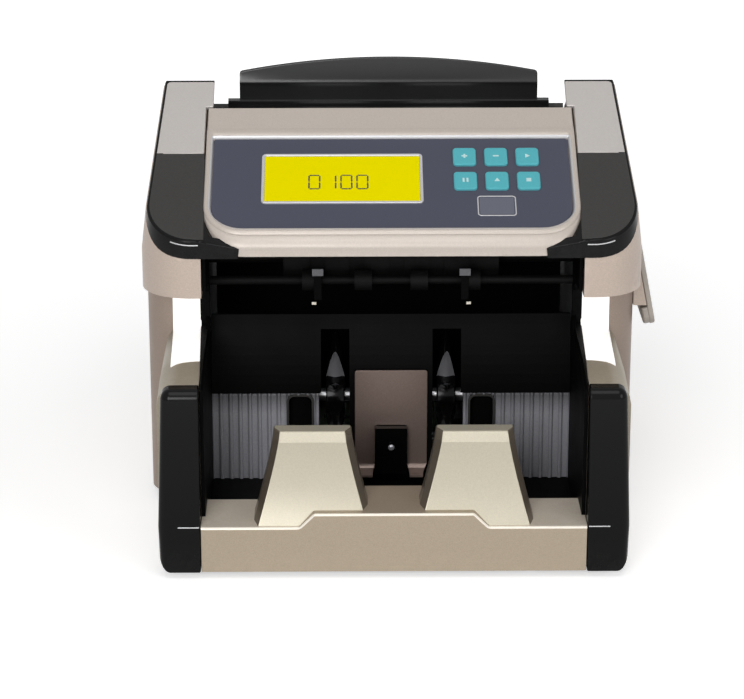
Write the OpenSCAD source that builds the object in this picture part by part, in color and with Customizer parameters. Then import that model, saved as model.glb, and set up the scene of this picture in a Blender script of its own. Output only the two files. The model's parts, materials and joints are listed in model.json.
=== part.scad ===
// Banknote counting machine: a C-shaped casing with a top hopper, a feed path of rollers,
// a front pocket with two paddle wheels, a sloping control panel and a folding side handle.
// Millimetres. +Z up, the front faces -Y, the origin is the middle of the overall box at its base.

/* [Overall] */
// Width of the casing, without the carrying handle
body_w = 281; // [278:1:290]
// Depth from the front bar to the back panel
body_d = 314; // [308:1:330]
// Height to the top of the hopper guard
body_h = 245; // [241:1:250]
// Height of the rubber feet
foot_h = 4; // [3:0.5:5]
// Radius of a rubber foot
foot_r = 9; // [6:0.5:11]
// How far the carrying handle stands out of the right side
handle_out = 14; // [13:0.5:17]
// Thickness of the moulded covers
wall = 2.5; // [2:0.1:3]
// Gap between fixed pieces that lie side by side
fit = 0.2; // [0.1:0.05:0.3]
// Gap round pieces that move
play = 0.4; // [0.3:0.05:0.6]
// Radial clearance of a shaft in its bearing
running = 0.05; // [0.02:0.01:0.09]
// How far the base arms are set in from the sides of the casing
arm_step = 11; // [9:0.5:13]
// Height of the side covers' lower edge above the tray's underside
skirt_up = 4; // [3:0.5:6]
// Rounding of the casing's upright edges at the back and in the notch
rear_r = 18; // [14:1:20]
// Rounding of the head's upright front edges
head_r = 28; // [24:1:30]
// Rounding of a base arm's outer edges
arm_r = 12; // [10:0.5:13]

/* [Pocket] */
// Clear width between the black pocket walls
pocket_w = 208; // [206:1:210]
// Thickness of a black pocket wall
liner_t = 2; // [1.5:0.1:2.5]
// Depth from the front of the machine to the back of the side notch
notch_d = 107; // [105:1:109]
// Height of the base arms at the front
arm_h = 106.7; // [104:0.5:109]
// Height of the hump on top of a base arm
hump_h = 112; // [110:0.5:115]
// Height of the underside of the head
head_low = 143; // [140:1:146]
// Height of the top of the pocket back plate
back_top = 115; // [112:1:118]
// Height of the join between the smooth back plate and the ribbed guides
rib_top = 70; // [67:1:73]
// Height of the pocket floor
floor_z = 17; // [15:0.5:20]
// Spacing of the ribs on the guides
rib_pitch = 5.6; // [4:0.2:8]
// Width of the slots for the paddle wheels
wheel_slot = 16.5; // [15.5:0.5:18]
// Distance of a paddle wheel from the middle
wheel_x = 32.3; // [31:0.1:34]

/* [Front bar] */
// Depth of the bar's top, from the front of the machine
bar_d = 42; // [38:1:46]
// Height of the bar at its ends
bar_h = 30.6; // [28:0.2:33]
// Height of the bar's raised middle
bar_mid_h = 38.5; // [36:0.5:41]
// Half the width of the raised middle
bar_mid = 44; // [40:1:46]
// Width of the ramp beside the raised middle
bar_ramp = 8; // [5:1:10]
// Height of the tops of the two fingers
finger_h = 81; // [76:1:86]
// Width of a finger at its top
finger_top_w = 35.7; // [30:0.5:40]
// Width of a finger at its foot
finger_foot_w = 60; // [54:1:62]
// Distance of a finger's middle from the middle of the machine
finger_x = 44.6; // [43:0.2:47]
// Thickness of a finger
finger_t = 14; // [11:0.5:16]

/* [Head] */
// Slope of the control panel and the top plates
tilt = 28; // [27:0.5:29]
// Depth from the front of the machine to the front of the head
head_setback = 60; // [58:1:62]
// Height of the front edge of the slope
edge_h = 176.7; // [174:0.5:179]
// Width of the head cover
deck_w = 211; // [208:1:211.4]
// Slope length of the head cover
deck_len = 109.4; // [107:0.2:112]
// Slope length of the top plates
plate_len = 132; // [128:1:134]
// Slope length of the dark part of the top plates
dark_len = 70; // [60:1:80]
// Thickness of a top plate
plate_t = 2; // [1.5:0.1:2.5]
// Height of the front fascia below the slope's front edge
lip_h = 9.5; // [8:0.5:11]
// Width of the front fascia
lip_w = 171; // [160:1:176]
// Height of the raised rim round the control panel
rim_h = 1.6; // [1:0.1:2]
// Width of the control panel
panel_w = 202; // [196:1:203]
// Slope distance of the panel's lower edge
panel_low = 8.6; // [8:0.2:10]
// Slope distance of the panel's upper edge
panel_high = 82; // [80:0.5:84]
// Radius of the panel's lower corners
panel_r = 18; // [14:1:20]
// Thickness of the panel
panel_t = 1.2; // [1:0.1:1.5]
// Height of the casing's sides above which they lean inwards
lean_h = 165; // [160:1:170]
// How far the sides lean inwards at the top
lean_in = 9; // [7:0.5:10]
// Depth of the dark block round the front of the head
trim_d = 9; // [7:0.5:11]
// Height of that block at the front
trim_h = 10.5; // [9:0.5:12]
// How far its underside rises towards its back
trim_rise = 6; // [4:0.5:7]

/* [Display and keys] */
// Left edge of the display frame, from the middle
display_left = -73.3; // [-76:0.5:-70]
// Width of the display frame
display_w = 91; // [88:0.5:94]
// Slope distance of the frame's lower edge
display_low = 28.5; // [27:0.5:31]
// Slope height of the display frame
display_h = 40.4; // [38:0.2:42]
// Width of the display frame's border
display_rim = 1.8; // [1.2:0.1:2.4]
// Width of a key
key_w = 13.2; // [12:0.1:14]
// Slope height of a key
key_h = 14.2; // [12:0.1:15]
// Distance of the first column of keys from the middle
key_x = 41.5; // [40:0.5:42]
// Spacing of the columns
key_pitch = 17.8; // [17:0.1:18.5]
// Slope distance of the lower row of keys
key_row = 46.2; // [45:0.1:47]
// Spacing of the two rows
row_pitch = 19.8; // [18.5:0.1:20.5]
// How far a key stands out of the panel
key_out = 1.6; // [1.4:0.1:2.2]
// Travel of a key
key_travel = 1; // [0.6:0.1:1.2]

/* [Hopper] */
// Distance of the hopper guard behind the middle of the box
guard_y = 54; // [52:1:56]
// Width of the guard's lower part
guard_w = 192; // [186:1:196]
// Width of the guard's arched top
guard_top_w = 182; // [176:1:185]
// Rise of the arch
guard_arch = 8.5; // [6:0.5:10]
// Thickness of the guard
guard_t = 3; // [2.5:0.1:4]
// Slope of the hopper floor
floor_tilt = 24; // [22:1:25]

/* [Rollers] */
// Radius of the roller shafts
shaft_r = 4; // [3:0.1:5]
// Radius of the feed drum
drum_r = 17; // [15:0.5:18]
// Half the length of the feed drum
drum_half = 62; // [50:1:75]
// Radius of the pickup wheels
pick_r = 14; // [12:0.5:14.5]
// Distance of a pickup wheel from the middle
pick_x = 32; // [26:1:40]
// Width of a pickup wheel
pick_w = 14; // [10:1:18]
// Radius of the exit rollers
exit_r = 6; // [5:0.2:6.5]
// Radius of the paddle wheels
paddle_r = 38; // [36:0.5:39]
// Width of a paddle wheel
paddle_w = 11; // [9:0.5:12]
// Paddles on each wheel
paddle_n = 10; // [8:1:12]
// Radius of the motor
motor_r = 20; // [17:0.5:22]
// Length of the motor
motor_len = 46; // [38:1:54]
// Pitch radius of the motor pulley
motor_pulley_r = 8; // [7:0.5:9]
// Pitch radius of the feed drum's large pulley
feed_big_r = 16; // [14:0.5:17]
// Pitch radius of the feed drum's small pulley
feed_small_r = 8; // [7:0.5:9]
// Pitch radius of the two pulleys of the pickup belt
pick_pulley_r = 12; // [10:0.5:13]
// Pitch radius of the stacker pulley
stack_pulley_r = 13; // [11:0.5:14]
// Width of a belt
belt_w = 6; // [4:0.5:7]
// Thickness of a belt
belt_t = 1.4; // [1:0.1:1.8]
// Thickness of the steel side frames
frame_t = 1.5; // [1.2:0.1:2]
// Depth of the feed drum's axis behind the front of the head
feed_back = 72; // [70:1:74]
// Height of the feed drum's axis above the underside of the head
feed_up = 3; // [1:0.5:5]
// Depth of the pickup roller's axis behind the feed drum
pick_back = 45; // [43:0.5:47]
// Height of the pickup roller's axis above the feed drum
pick_up = 4; // [3:0.5:5]
// Depth of the stacker's axis behind the back of the notch
stack_back = 20; // [18:0.5:22]
// Height of the stacker's axis
stack_h = 62; // [60:0.5:64]
// Distance of the motor's axis from the back of the machine
motor_back = 82; // [78:1:86]
// Height of the motor's axis
motor_h = 60; // [56:1:64]

/* [Handle and door] */
// Half the length of the carrying handle
handle_half = 34; // [30:1:40]
// Height of the handle's pivot
pivot_h = 158; // [155:1:160]
// Height of the handle's lower edge
grip_low = 105; // [102:1:108]
// How far the boss starts above the handle's pivot
boss_up = 32; // [28:1:34]
// Height of the grip bar along the handle's lower edge
grip_h = 12; // [10:0.5:14]
// Thickness of the handle
handle_t = 3; // [2.5:0.1:3.5]
// Radius of the handle's pin
handle_pin_r = 1.5; // [1.2:0.1:1.8]
// Height of the rear door's upright wall above its hinge
door_drop = 19.6; // [16:0.2:24]
// Radius of the rear door's hinge pin
door_pin_r = 1.5; // [1.2:0.1:1.8]

/* [Electronics] */
// Length of the main board
board_len = 128; // [110:2:132]
// Gap between the main board and the back of the machine
board_gap = 25; // [20:1:40]
// Distance of the board's left edge from the middle
board_left = 92; // [88:1:94]
// Height of the posts under the main board
post_h = 5; // [4:0.5:7]
// Width of the transformer's core
core_w = 52; // [44:1:54]
// Depth of the transformer's core
core_d = 46; // [40:1:48]
// Height of the transformer's core
core_h = 44; // [38:1:48]
// Distance of the transformer's middle from the middle
core_x = 72; // [68:1:74]
// Distance of the transformer's middle from the back of the machine
core_gap = 58; // [54:1:62]
// Distance of the two front tray screws from the middle
front_screw_x = 75; // [60:1:84]
// Half the width of the display board
display_board_half = 88; // [84:1:92]
// Height of the sockets in the back
socket_z = 44; // [40:1:50]
// Distance of the mains inlet from the middle
inlet_x = -66; // [-70:1:-62]
// Distance of the power switch from the middle
switch_x = -34; // [-38:1:-30]
// Distance of the display socket from the middle
port_x = 40; // [34:1:46]
// Half the width and half the height of the mains inlet
inlet_half = [14, 10];
// Half the width and half the height of the power switch
switch_half = [7, 10.5];
// Half the width and half the height of the display socket
port_half = [7, 6];

/* [Hidden] */
$fn = 48;

champagne = [0.76, 0.70, 0.64];
pale = [0.80, 0.77, 0.74];
gloss_black = [0.09, 0.09, 0.09];
dark_grey = [0.27, 0.26, 0.25];
matt_black = [0.10, 0.10, 0.11];
rib_grey = [0.28, 0.28, 0.30];
steel = [0.62, 0.62, 0.63];
rubber = [0.16, 0.15, 0.15];

// Places of the main faces, measured from the middle plane of the casing
mid_x = -handle_out / 2;
half_w = body_w / 2;
front_y = -body_d / 2;
back_y = body_d / 2;
wall_x = pocket_w / 2;              // inner face of a pocket wall
inner_x = wall_x + liner_t;         // inner face of the side casings
cover_x = inner_x + fit;
notch_y = front_y + notch_d;
head_y = front_y + head_setback;
arm_x = half_w - arm_step;
skirt_z = foot_h + skirt_up;        // lower edge of the side covers behind the arms
tray_t = 3;
tray_top = foot_h + tray_t;
tip = 0.1;                          // thickness of the thin layers that a hull joins
big = 400;

// The slope of the head and the ridge behind it
function slope_y(s, h = 0) = head_y + s * cos(tilt) - h * sin(tilt);
function slope_z(s, h = 0) = edge_h + s * sin(tilt) + h * cos(tilt);
function plane_z(y, h = 0) = edge_h + (y - head_y) * tan(tilt) + h / cos(tilt);
function lean(z) = max(0, z - lean_h) * lean_in / (slope_z(plate_len) - lean_h);
ridge_y = slope_y(plate_len);
ridge_z = slope_z(plate_len);
function rear_z(y, h = 0) = ridge_z - (y - ridge_y) * tan(tilt) + h / cos(tilt);
door_hinge_h = rear_z(back_y) - door_drop;
trim_y = head_y + trim_d;           // back of the dark trim's front block
trim_z = edge_h - trim_h;           // underside of that block
cheek_y = front_y + 16;             // back of a cheek
cheek_inset = 1.5;                  // the casing shows this far outside a cheek

// Roller centres, as [y, z]
feed_at = [head_y + feed_back, head_low + feed_up];
pick_at = feed_at + [pick_back, pick_up];
stack_at = [notch_y + stack_back, stack_h];
motor_at = [back_y - motor_back, motor_h];
exit_gap = 0.5;
exit_at = feed_at + (drum_r + exit_r + exit_gap) * [-cos(20), -sin(20)];
frame_back = back_y - 39;           // back edge of a steel side frame
frame_top = ridge_z - 48.7;         // top front corner of that frame
rod_r = 3;
rod_at = [[stack_at[0] + 38, tray_top + 15], [frame_back - 6, motor_h + 60], [motor_at[0] - 13, motor_h + 80]];
bush_r = shaft_r + 3;
frame_x = inner_x + fit + 0.3;      // inner face of a steel side frame
bush_flange = 1;
pulley_x = frame_x + frame_t + bush_flange + 1;
second_x = pulley_x + belt_w + 5;   // second row of pulleys, outside the first
flange_t = 1;

module on_mid() translate([mid_x, 0, 0]) children();
module on_side(k) on_mid() mirror([k < 0 ? 1 : 0, 0, 0]) children();
module on_head() translate([mid_x, head_y, edge_h]) rotate([tilt, 0, 0]) children();
module on_rear() translate([mid_x, ridge_y, ridge_z]) rotate([-tilt, 0, 0]) children();

// A box between two corners
module block(a, b) translate(a) cube(b - a);

// A rectangle with round corners, exact in plan
module round_rect(a, b, r) {
    translate([a[0] + r, a[1]]) square([b[0] - a[0] - 2 * r, b[1] - a[1]]);
    translate([a[0], a[1] + r]) square([b[0] - a[0], b[1] - a[1] - 2 * r]);
    for (x = [a[0] + r, b[0] - r], y = [a[1] + r, b[1] - r]) translate([x, y]) circle(r);
}

// A profile drawn in Y and Z, carried along X from x0 to x1
module along_x(x0, x1) translate([x0, 0, 0]) rotate([90, 0, 90]) linear_extrude(x1 - x0) children();

// A profile drawn in X and Z, carried along Y from y0 to y1
module along_y(y0, y1) translate([0, y1, 0]) rotate([90, 0, 0]) linear_extrude(y1 - y0) children();

// A cylinder on an X axis, from x0 to x1
module rod_x(x0, x1, r, at = [0, 0]) translate([x0, at[0], at[1]]) rotate([0, 90, 0]) cylinder(h = x1 - x0, r = r);

// A cylinder on a Y axis, from y0 to y1
module rod_y(y0, y1, r, at = [0, 0]) translate([at[0], y1, at[1]]) rotate([90, 0, 0]) cylinder(h = y1 - y0, r = r);

// Layers of a side profile whose outer edge is rounded with radius r, to be joined by a hull
module round_layers(x0, x1, r) {
    along_x(x0, x0 + tip) children();
    for (a = [0:22.5:90]) if (x1 - r + r * sin(a) > x0 + tip)
        along_x(x1 - r + r * sin(a) - tip, x1 - r + r * sin(a)) offset(delta = -r * (1 - cos(a))) children();
}

// ---- Side casings ----

// Side outlines of the casing, shrunk by d; what reaches past a flat lower face is cut off afterwards
below = 30;
module rear_outline(top, d) polygon([
    [notch_y + d, skirt_z - below], [back_y - d, skirt_z - below],
    [back_y - d, min(top, rear_z(back_y))], [min(back_y - d, ridge_y + 20), top], [notch_y + d, top]]);
module head_outline(top, d) polygon([
    [head_y + d, head_low - below], [ridge_y, head_low - below], [ridge_y, top], [head_y + d, top]]);
module arm_outline(d) polygon([
    [front_y + d, foot_h - (d > 0 ? 2 * d : 0)], [notch_y + 12, foot_h - (d > 0 ? 2 * d : 0)],
    [notch_y + 12, hump_h - d], [notch_y - 60, hump_h - d], [front_y + 6.5 + d, arm_h - d], [front_y + d, bar_h]]);

module casing_lumps(d) {
    high = ridge_z + 30;
    high_x = half_w - lean_in * (high - lean_h) / (ridge_z - lean_h) - d;
    intersection() {
        hull() {
            round_layers(cover_x - d, half_w - d, rear_r - d) rear_outline(lean_h, d);
            round_layers(cover_x - d, high_x, rear_r - d) rear_outline(high, d);
        }
        block([0, -big, skirt_z - 2 * d], [big, big, big]);
    }
    intersection() {
        hull() {
            round_layers(cover_x - d, half_w - d, head_r - d) head_outline(lean_h, d);
            round_layers(cover_x - d, high_x, head_r - d) head_outline(high, d);
        }
        block([0, -big, head_low + d], [big, big, big]);
    }
    intersection() {
        hull() round_layers(cover_x - d, arm_x - d, arm_r - d) arm_outline(d);
        block([0, cheek_y + fit, 0], [big, big, big]);
    }
}

// Everything below the top plates, lowered by d
seat = 0.05;
module under_top(d) along_x(0, big) polygon([
    [-big, -big], [-big, trim_z - d], [head_y + trim_d / 3, trim_z - d], [trim_y + fit + d, trim_z + trim_rise - d],
    [trim_y + fit + d, plane_z(trim_y + fit + d, -plate_t - seat - d)],
    [ridge_y, plane_z(ridge_y, -plate_t - seat - d)], [big, rear_z(big, -plate_t - seat - d)], [big, -big]]);

module side_cover(k) color(champagne) on_side(k) difference() {
    intersection() { casing_lumps(0); under_top(0); }
    intersection() { casing_lumps(wall); under_top(wall); }
    if (k > 0) block([half_w - 12, -handle_half - 2 - fit, lug_low - fit], [big, handle_half + 2 + fit, pivot_h + lug_half + fit]);
}

// The black front cap of a base arm, closed towards the pocket
module cheek(k) color(gloss_black) on_side(k) intersection() {
    difference() {
        hull() round_layers(cover_x, arm_x - cheek_inset, arm_r) arm_outline(0);
        hull() round_layers(cover_x + wall, arm_x - cheek_inset - wall, arm_r - wall) arm_outline(wall);
    }
    block([0, -big, 0], [big, cheek_y, big]);
}

board_back = back_y - board_gap;
board_front = rod_at[0][0] + rod_r + 1;
core_y = back_y - core_gap;
post_in = 4;
post_at = [for (x = [-board_left + post_in, board_len - board_left - post_in], y = [board_front + post_in, board_back - post_in]) [x, y]];
core_flange = 4;                    // the transformer's lower plate shows this far round its core
screw_r = 1.6;
screw_at = concat(post_at, [for (k = [-1, 1]) [k * front_screw_x, front_y + 12]],
    [for (k = [-1, 1]) [core_x + k * (core_w + core_flange - 1) / 2, core_y]]);
module base_tray() color(dark_grey) on_mid() {
    rim = 8;
    difference() {
        union() {
            block([-inner_x, front_y + wall + fit, foot_h], [inner_x, notch_y + 13, tray_top]);
            block([-half_w + 14, notch_y + 13, foot_h], [half_w - 14, back_y - wall - fit, tray_top]);
        }
        for (y = [0:12:72]) for (x = [-30:20:30]) block([x - 6, y, foot_h - 1], [x + 6, y + 4, tray_top + 1]);
        for (p = screw_at) translate(p) cylinder(h = big, r = screw_r, center = true);
    }
    block([-inner_x + 6, back_y - wall - fit - 2, tray_top], [inner_x - 6, back_y - wall - fit, tray_top + rim]);
}

foot_at = [[-95, front_y + 20], [95, front_y + 20], [-112, back_y - 24], [112, back_y - 24]];
module rubber_feet() color(rubber) on_mid()
    for (p = foot_at) translate(p) difference() {
        cylinder(h = foot_h, r = foot_r);
        translate([0, 0, -1]) cylinder(h = 2, r = foot_r * 0.45);
    }

// ---- Front bar and fingers ----

module bar_outline(d) polygon([
    [-inner_x + d, -1], [inner_x - d, -1], [inner_x - d, bar_h - d], [bar_mid + bar_ramp, bar_h - d],
    [bar_mid, bar_mid_h - d], [-bar_mid, bar_mid_h - d], [-bar_mid - bar_ramp, bar_h - d], [-inner_x + d, bar_h - d]]);

module bar_section(d) polygon([
    [front_y + d, foot_h - d], [front_y + bar_d - d, foot_h - d], [front_y + bar_d - d, bar_mid_h + 1],
    [front_y + 1 + d, bar_mid_h + 1], [front_y + d, bar_h - 3]]);

module bar_solid(d) intersection() {
    along_y(front_y - 1, front_y + bar_d + 1) bar_outline(d);
    along_x(-inner_x + d, inner_x - d) bar_section(d);
}

module front_bar() color(champagne) on_mid() difference() {
    bar_solid(0);
    bar_solid(wall);
    block([-big, front_y + wall, -1], [big, front_y + bar_d + 1, tray_top + fit]);
}

// One finger: two tapered lumps on round posts, its foot cut to the shape of the bar
module finger_layer(w, y0, y1, z, r) for (x = [finger_x - w / 2 + r, finger_x + w / 2 - r], y = [y0 + r, y1 - r])
    translate([x, y, z]) cylinder(h = tip, r = r, $fn = 32);
module finger(k) color(champagne) on_side(k) difference() {
    waist_z = bar_h + (finger_h - bar_h) * 0.35;
    waist_w = finger_foot_w + (finger_top_w - finger_foot_w) * 0.38;
    union() {
        hull() {
            finger_layer(finger_foot_w, front_y + 2.5, front_y + 29, bar_h - 3, 3);
            finger_layer(waist_w, front_y + 8, front_y + 8 + finger_t * 1.25, waist_z, 3);
        }
        hull() {
            finger_layer(waist_w, front_y + 8, front_y + 8 + finger_t * 1.25, waist_z, 3);
            finger_layer(finger_top_w, front_y + 12, front_y + 12 + finger_t, finger_h - 2, 3);
            finger_layer(finger_top_w - 3, front_y + 13.5, front_y + 10.5 + finger_t, finger_h - tip, 2);
        }
    }
    bar_solid(0);
}

// ---- Head cover, panel, display and keys ----

deck_half = deck_w / 2;
rim_low = panel_low - 5;
module deck_outline() {
    translate([-deck_half, 40]) square([deck_w, deck_len - 40]);
    round_rect([-deck_half, -0.4], [deck_half, 60], panel_r + 6);
}
module panel_outline(d) {
    round_rect([-panel_w / 2 - d, panel_low - d], [panel_w / 2 + d, 60], panel_r + d);
    translate([-panel_w / 2 - d, 40]) square([panel_w + 2 * d, panel_high - 40 + d]);
}
board_h = 7;        // depth of the display board's top below the panel

module head_cover() color(champagne) {
    on_head() difference() {
        union() {
            translate([0, 0, -3]) linear_extrude(3) deck_outline();
            linear_extrude(rim_h) intersection() {
                translate([0, 3.4]) panel_outline(4.5);
                translate([-deck_half, rim_low]) square([deck_w, panel_high + 9.4 - rim_low]);
            }
        }
        translate([0, 0, -panel_t]) linear_extrude(big) panel_outline(fit);
        block([-panel_w / 2 + 8, panel_low + 10, -4], [panel_w / 2 - 8, panel_high - 6, 0]);
    }
    on_mid() {
        block([-lip_w / 2, head_y, edge_h - lip_h], [lip_w / 2, head_y + wall, edge_h - 0.5]);
        translate([0, head_y, edge_h - 2.6]) block([-lip_w / 2, 0, 0], [lip_w / 2, 12, 2.4]);
        block([-wall_x, slope_y(deck_len) - wall, slope_z(deck_len) - 28], [wall_x, slope_y(deck_len), slope_z(deck_len) - 2]);
    }
}

module display_hole(d) round_rect([display_left + display_rim - d, display_low + display_rim - d],
    [display_left + display_w - display_rim + d, display_low + display_h - display_rim + d], 1 + d);
module key_outline(c, r, d) translate([key_x + c * key_pitch, key_row + r * row_pitch])
    round_rect([-key_w / 2 - d, -key_h / 2 - d], [key_w / 2 + d, key_h / 2 + d], 2 + d);

module control_panel() color([0.32, 0.33, 0.38]) on_head() translate([0, 0, -panel_t]) linear_extrude(panel_t) difference() {
    panel_outline(0);
    display_hole(fit);
    for (c = [0:2], r = [0:1]) key_outline(c, r, play / 2);
}

module display_frame() color([0.75, 0.76, 0.78]) on_head() linear_extrude(1) difference() {
    round_rect([display_left, display_low], [display_left + display_w, display_low + display_h], 2);
    display_hole(0);
}

module display_window() color([0.92, 0.86, 0.05]) on_head() translate([0, 0, -panel_t]) linear_extrude(panel_t + 0.4) display_hole(-fit / 2);

module key(c, r) color([0.43, 0.77, 0.79]) on_head() {
    translate([0, 0, -panel_t - 1]) linear_extrude(panel_t + 1 + key_out) key_outline(c, r, 0);
    translate([key_x + c * key_pitch, key_row + r * row_pitch, key_travel + 0.4 - board_h + 1])
        cylinder(h = board_h - key_travel - 2.4 - panel_t + 0.4, r = 2.5);
}
module key_top_1() key(0, 1);
module key_top_2() key(1, 1);
module key_top_3() key(2, 1);
module key_low_1() key(0, 0);
module key_low_2() key(1, 0);
module key_low_3() key(2, 0);

// The board hangs under the panel; small domes stand under the keys
module display_board() color([0.10, 0.35, 0.18]) on_head() {
    half = display_board_half;
    block([-half, panel_low + 12, -board_h - 1.6], [half, panel_high - 8, -board_h]);
    for (c = [0:2], r = [0:1]) translate([key_x + c * key_pitch, key_row + r * row_pitch, -board_h]) cylinder(h = 1, r = 3.5);
    block([display_left + 4, display_low + 4, -board_h], [display_left + display_w - 4, display_low + display_h - 4, -panel_t - 0.3]);
    for (k = [-1, 1]) translate([k * (half - 4), panel_low + 16, -board_h]) cylinder(h = board_h - panel_t, r = 2.5);
}

// ---- Top plates ----

// Outer edge of the casing at slope distance s, and the outline of a plate inside it
function edge_x(s) = half_w - lean(slope_z(s));
plate_x = deck_half + 1.3;
module plate_outline() intersection() {
    polygon(concat([[plate_x, -1], [plate_x, deck_len + play], [deck_half - 3, deck_len + play], [deck_half - 4, plate_len]],
        [for (s = [plate_len:-11:0]) [edge_x(s) - 0.5, s]], [[edge_x(0), -1]]));
    union() {
        translate([0, 32]) square([big, plate_len]);
        round_rect([-big, -1], [edge_x(20) - 0.5, plate_len], 30);
    }
}
module top_plate(k) color(pale) on_side(k) translate([-mid_x, 0, 0]) on_head() translate([0, 0, -plate_t]) linear_extrude(plate_t)
    intersection() { plate_outline(); translate([0, dark_len + fit]) square([big, big]); }

// The dark half of the plate, with a tongue below the rim's round corner and a block round the front of the head
module dark_trim(k) color(dark_grey) on_side(k) {
    translate([-mid_x, 0, 0]) on_head() translate([0, 0, -plate_t]) linear_extrude(plate_t) intersection() {
        difference() {
            union() { plate_outline(); translate([lip_w / 2 + fit, -1]) square([plate_x - lip_w / 2, 24]); }
            offset(delta = 0.3) deck_outline();
        }
        translate([0, -2]) square([big, dark_len + 2]);
    }
    intersection() {
        linear_extrude(big) intersection() {
            round_rect([-big, head_y - 0.6], [half_w - 0.5, 0], head_r);
            translate([lip_w / 2 + fit, -big]) square([big, big + trim_y]);
        }
        along_x(0, big) polygon([
            [head_y - 0.6, trim_z + fit], [head_y + trim_d / 3, trim_z + fit], [trim_y, trim_z + trim_rise + fit],
            [trim_y, plane_z(trim_y, -3.2)], [head_y - 0.6, plane_z(head_y - 0.6, -3.2)]]);
    }
    // web that joins the block to the plate
    translate([-mid_x, 0, 0]) on_head() translate([0, 0, -3.6]) linear_extrude(3.6 - plate_t + 0.1) intersection() {
        plate_outline();
        translate([plate_x, 0]) square([big, 7]);
    }
}

// ---- Pocket ----

// Front edge of a pocket wall: forward on the arm and the head, set back in the notch
module pocket_wall(k) color(matt_black) on_side(k) along_x(wall_x, inner_x) difference() {
    polygon([[front_y + bar_d + fit, tray_top], [notch_y + 4, tray_top], [notch_y + 4, trim_z + 16], [trim_y + 1, trim_z],
        [head_y + 7, trim_z], [head_y + 7, head_low + 2], [notch_y - 14, head_low - 2], [notch_y - 2, head_low - 10], [notch_y - 2, hump_h + 6],
        [notch_y - 14, hump_h - 2], [notch_y - 60, hump_h - 2], [cheek_y + fit, arm_h - 2], [cheek_y + fit, bar_h + fit],
        [front_y + bar_d + fit, bar_h + fit]]);
    translate(exit_at) circle(2.5 + running);
}

// Thickness centre of the smooth back plate, bowing forwards from its top edge
back_t = 2.5;
back_depth = 10;
function back_y_at(z) = notch_y + back_depth * pow((z - rib_top) / (back_top - rib_top), 2);
slot_in = wheel_x - wheel_slot / 2;
slot_out = wheel_x + wheel_slot / 2;
module pocket_back() color(matt_black) on_mid() {
    steps = 8;
    step = (back_top - rib_top) / steps;
    difference() {
        along_x(-wall_x + fit, wall_x - fit) polygon(concat(
            [for (i = [0:steps]) [back_y_at(rib_top + i * step), rib_top + i * step]],
            [for (i = [steps:-1:0]) [back_y_at(rib_top + i * step) + back_t, rib_top + i * step]]));
        for (k = [-1, 1]) block([k * wheel_x - wheel_slot / 2, notch_y - 5, 0], [k * wheel_x + wheel_slot / 2, notch_y + 40, back_top - 8]);
    }
    block([-slot_in, notch_y, floor_z], [slot_in, notch_y + back_t, rib_top]);
}

module rib_guide(k) color(rib_grey) on_side(k) difference() {
    union() {
        block([slot_out, notch_y + 0.8, floor_z], [wall_x - fit, notch_y + 0.8 + back_t, rib_top - fit]);
        for (x = [slot_out + 1:rib_pitch:wall_x - 3]) translate([x, notch_y + 0.8, floor_z]) cylinder(h = rib_top - fit - floor_z, r = 1.1, $fn = 16);
    }
    translate([0, notch_y - 5, 0]) block([46, 0, 45], [59.3, 12, 62]);
    along_y(notch_y - 5, notch_y + 7) round_rect([46, 45], [59.3, 68], 4);
}

plate_half = slot_in - 3;
module centre_plate() color([0.43, 0.37, 0.35]) on_mid() {
    difference() {
        block([-plate_half, notch_y - 1.2, 22.8], [plate_half, notch_y, 84.7]);
        block([-9.6, notch_y - 2, 22], [9.6, notch_y + 1, 51.2]);
        block([-plate_half - 1, notch_y - 0.001, rib_top], [plate_half + 1, notch_y + 1, 90]);
    }
    for (k = [-1, 1]) block([k < 0 ? -plate_half : 9.6, notch_y - 13, 21.6], [k < 0 ? -9.6 : plate_half, notch_y - 0.01, 22.8]);
}

module stack_sensor() color(gloss_black) on_mid() {
    block([-9.3, notch_y - 8, 22.8], [9.3, notch_y - fit / 2, 50.9]);
    along_y(notch_y - 9, notch_y - 8) translate([0, 40]) circle(2.4);
}

module pocket_floor() color(matt_black) on_mid() {
    block([-wall_x + fit, front_y + bar_d + fit, floor_z - 2], [wall_x - fit, notch_y + 3, floor_z]);
    for (x = [-80, 0, 80]) block([x - 1, front_y + bar_d + fit, tray_top], [x + 1, notch_y + 3, floor_z - 2]);
}

// ---- Hopper ----

floor_low = [feed_at[0] + drum_r + 3, feed_at[1] + 4];
floor_high = [guard_y, floor_low[1] + (guard_y - floor_low[0]) * tan(floor_tilt)];
module hopper_floor() color(matt_black) on_mid() difference() {
    along_x(-wall_x + fit, wall_x - fit) polygon([floor_low, floor_high, floor_high + [0, 2.8], floor_low + [0, 2.8]]);
    for (k = [-1, 1]) rod_x(k * pick_x - pick_w / 2 - play, k * pick_x + pick_w / 2 + play, pick_r + play, pick_at);
}

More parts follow.
